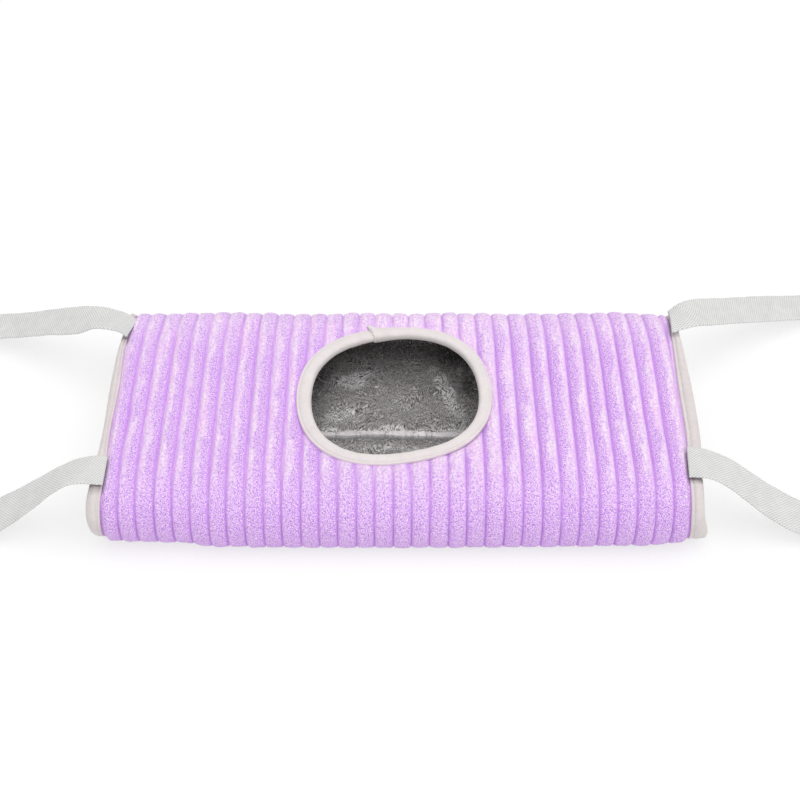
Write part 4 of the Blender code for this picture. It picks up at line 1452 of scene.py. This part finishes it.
class HAMMOCK_OT_straps(bpy.types.Operator):
    """Add the four webbing straps, folded back round their snaps."""

    bl_idname = "hammock.straps"
    bl_label = "Straps"

    def execute(self, context):
        trim = context.scene.hammock.trim
        colours = (trim.strap_colour, trim.strap_shade, srgb(*SEAM_SHADE))
        material = tape_material(
            shared_groups(), "grey_webbing", colours, 880.0, math.pi / 4, 0.0, 0.9, 0.12, 0.00014,
        )
        for number, corner in enumerate(CORNERS):
            self.add_strap(trim, corner, number, material)
        return {"FINISHED"}

    def add_strap(self, trim, corner, number, material):
        """Section: a flat oblong with round edges, carried along the route. Its half width
        times a rounded cosine and half thickness times a sine give each point."""
        route = strap_route(*STRAP_ROUTES[corner])
        at, centre, wide, thick = tucked_route(corner, route)
        across = np.array((-1, -0.985, -0.94, -0.8, -0.55, -0.28, 0, 0.28, 0.55, 0.8, 0.94, 0.985, 1))
        lift = np.array((0, 0.55, 0.9, 1, 0.95, 1, 0.95, 1, 0.95, 1, 0.9, 0.55, 0))
        loop_across = np.concatenate([across, across[-2:0:-1]])
        loop_lift = np.concatenate([lift, -lift[-2:0:-1]])
        selvedge = 0.00012 * np.sin(at * 1900 + number) + 0.0001 * np.sin(at * 420 + 2 * number)
        half = trim.strap_width / 2 + selvedge[:, None] * np.sign(loop_across)[None, :]
        cup = 0.0003 * np.sin(at * 60 + number * 2)[:, None] * (loop_across**2)[None, :]
        cup = cup * ease(at, 0.02, 0.05)[:, None] * (1 - ease(at, 0.11, 0.13))[:, None]
        wide_offset = (half * loop_across[None, :])[..., None] * wide[:, None, :]
        through_offset = (trim.strap_thickness / 2 * loop_lift[None, :] + cup)[..., None]
        grid = centre[:, None, :] + wide_offset + through_offset * thick[:, None, :]
        *_, skew, drawn_down, _ = STRAP_ROOTS[corner]
        near = 1 - ease(at - at[0], 0.0, 0.014)[:, None]
        rearward = (loop_across[None, :] + 1) / 2
        grid += (skew * near * (1 - rearward))[..., None] * route["out"]
        grid[..., 2] -= drawn_down * near * np.clip(2 * rearward - 1, 0, 1) ** 1.5
        around = np.concatenate([across, across[-2:0:-1] + 2.2]) * trim.strap_width / 2
        unrolled = np.stack(np.broadcast_arrays(around[None, :], at[:, None]), axis=-1)
        if STRAP_ROUTES[corner][0] > 0:
            grid, unrolled = grid[:, ::-1], unrolled[:, ::-1]
        item = carried(corner + "_webbing", grid, False, unrolled)
        item.data.materials.append(material)
        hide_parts(corner + "_strap")
        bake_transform(item)


# Snaps


class HAMMOCK_OT_snaps(bpy.types.Operator):
    """Give the swivel bolt snaps their plated finish."""

    bl_idname = "hammock.snaps"
    bl_label = "Snaps"

    def execute(self, context):
        plate = metal_material("nickel_plate", srgb(214, 211, 205), 0.22)
        spring = metal_material("spring_steel", srgb(176, 178, 182), 0.3)
        for corner in CORNERS:
            for part, material, slot in (
                ("eye", plate, "metal"),
                ("body", plate, "metal"),
                ("bolt", plate, "metal"),
                ("spring", spring, "spring"),
            ):
                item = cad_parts[corner + "_snap_" + part]
                item.data.materials.clear()
                item.data.materials.append(material)
        return {"FINISHED"}


STEPS = (
    HAMMOCK_OT_stage,
    HAMMOCK_OT_corduroy,
    HAMMOCK_OT_wadding,
    HAMMOCK_OT_lining,
    HAMMOCK_OT_end_tapes,
    HAMMOCK_OT_window_tape,
    HAMMOCK_OT_straps,
    HAMMOCK_OT_snaps,
)


class HAMMOCK_PT_panel(bpy.types.Panel):
    """Lists the hammock's pieces and their sizes."""

    bl_idname = "HAMMOCK_PT_panel"
    bl_label = "Pet hammock"
    bl_space_type = "VIEW_3D"
    bl_region_type = "UI"
    bl_category = "Hammock"

    def draw(self, context):
        settings = context.scene.hammock
        for step in STEPS:
            self.layout.operator(step.bl_idname)
        for group in (settings.cloth, settings.trim, settings.stage):
            box = self.layout.box()
            for name in group.bl_rna.properties.keys():
                if name not in ("rna_type", "name"):
                    box.prop(group, name)


CLASSES = (
    HammockClothSettings,
    HammockTrimSettings,
    HammockStageSettings,
    HammockSettings,
    *STEPS,
    HAMMOCK_PT_panel,
)


def register():
    for item in CLASSES:
        bpy.utils.register_class(item)
    bpy.types.Scene.hammock = bpy.props.PointerProperty(type=HammockSettings)


def unregister():
    del bpy.types.Scene.hammock
    for item in reversed(CLASSES):
        bpy.utils.unregister_class(item)


def main():
    register()
    for step in STEPS:
        group, name = step.bl_idname.split(".")
        getattr(getattr(bpy.ops, group), name)()


if __name__ == "__main__":
    main()
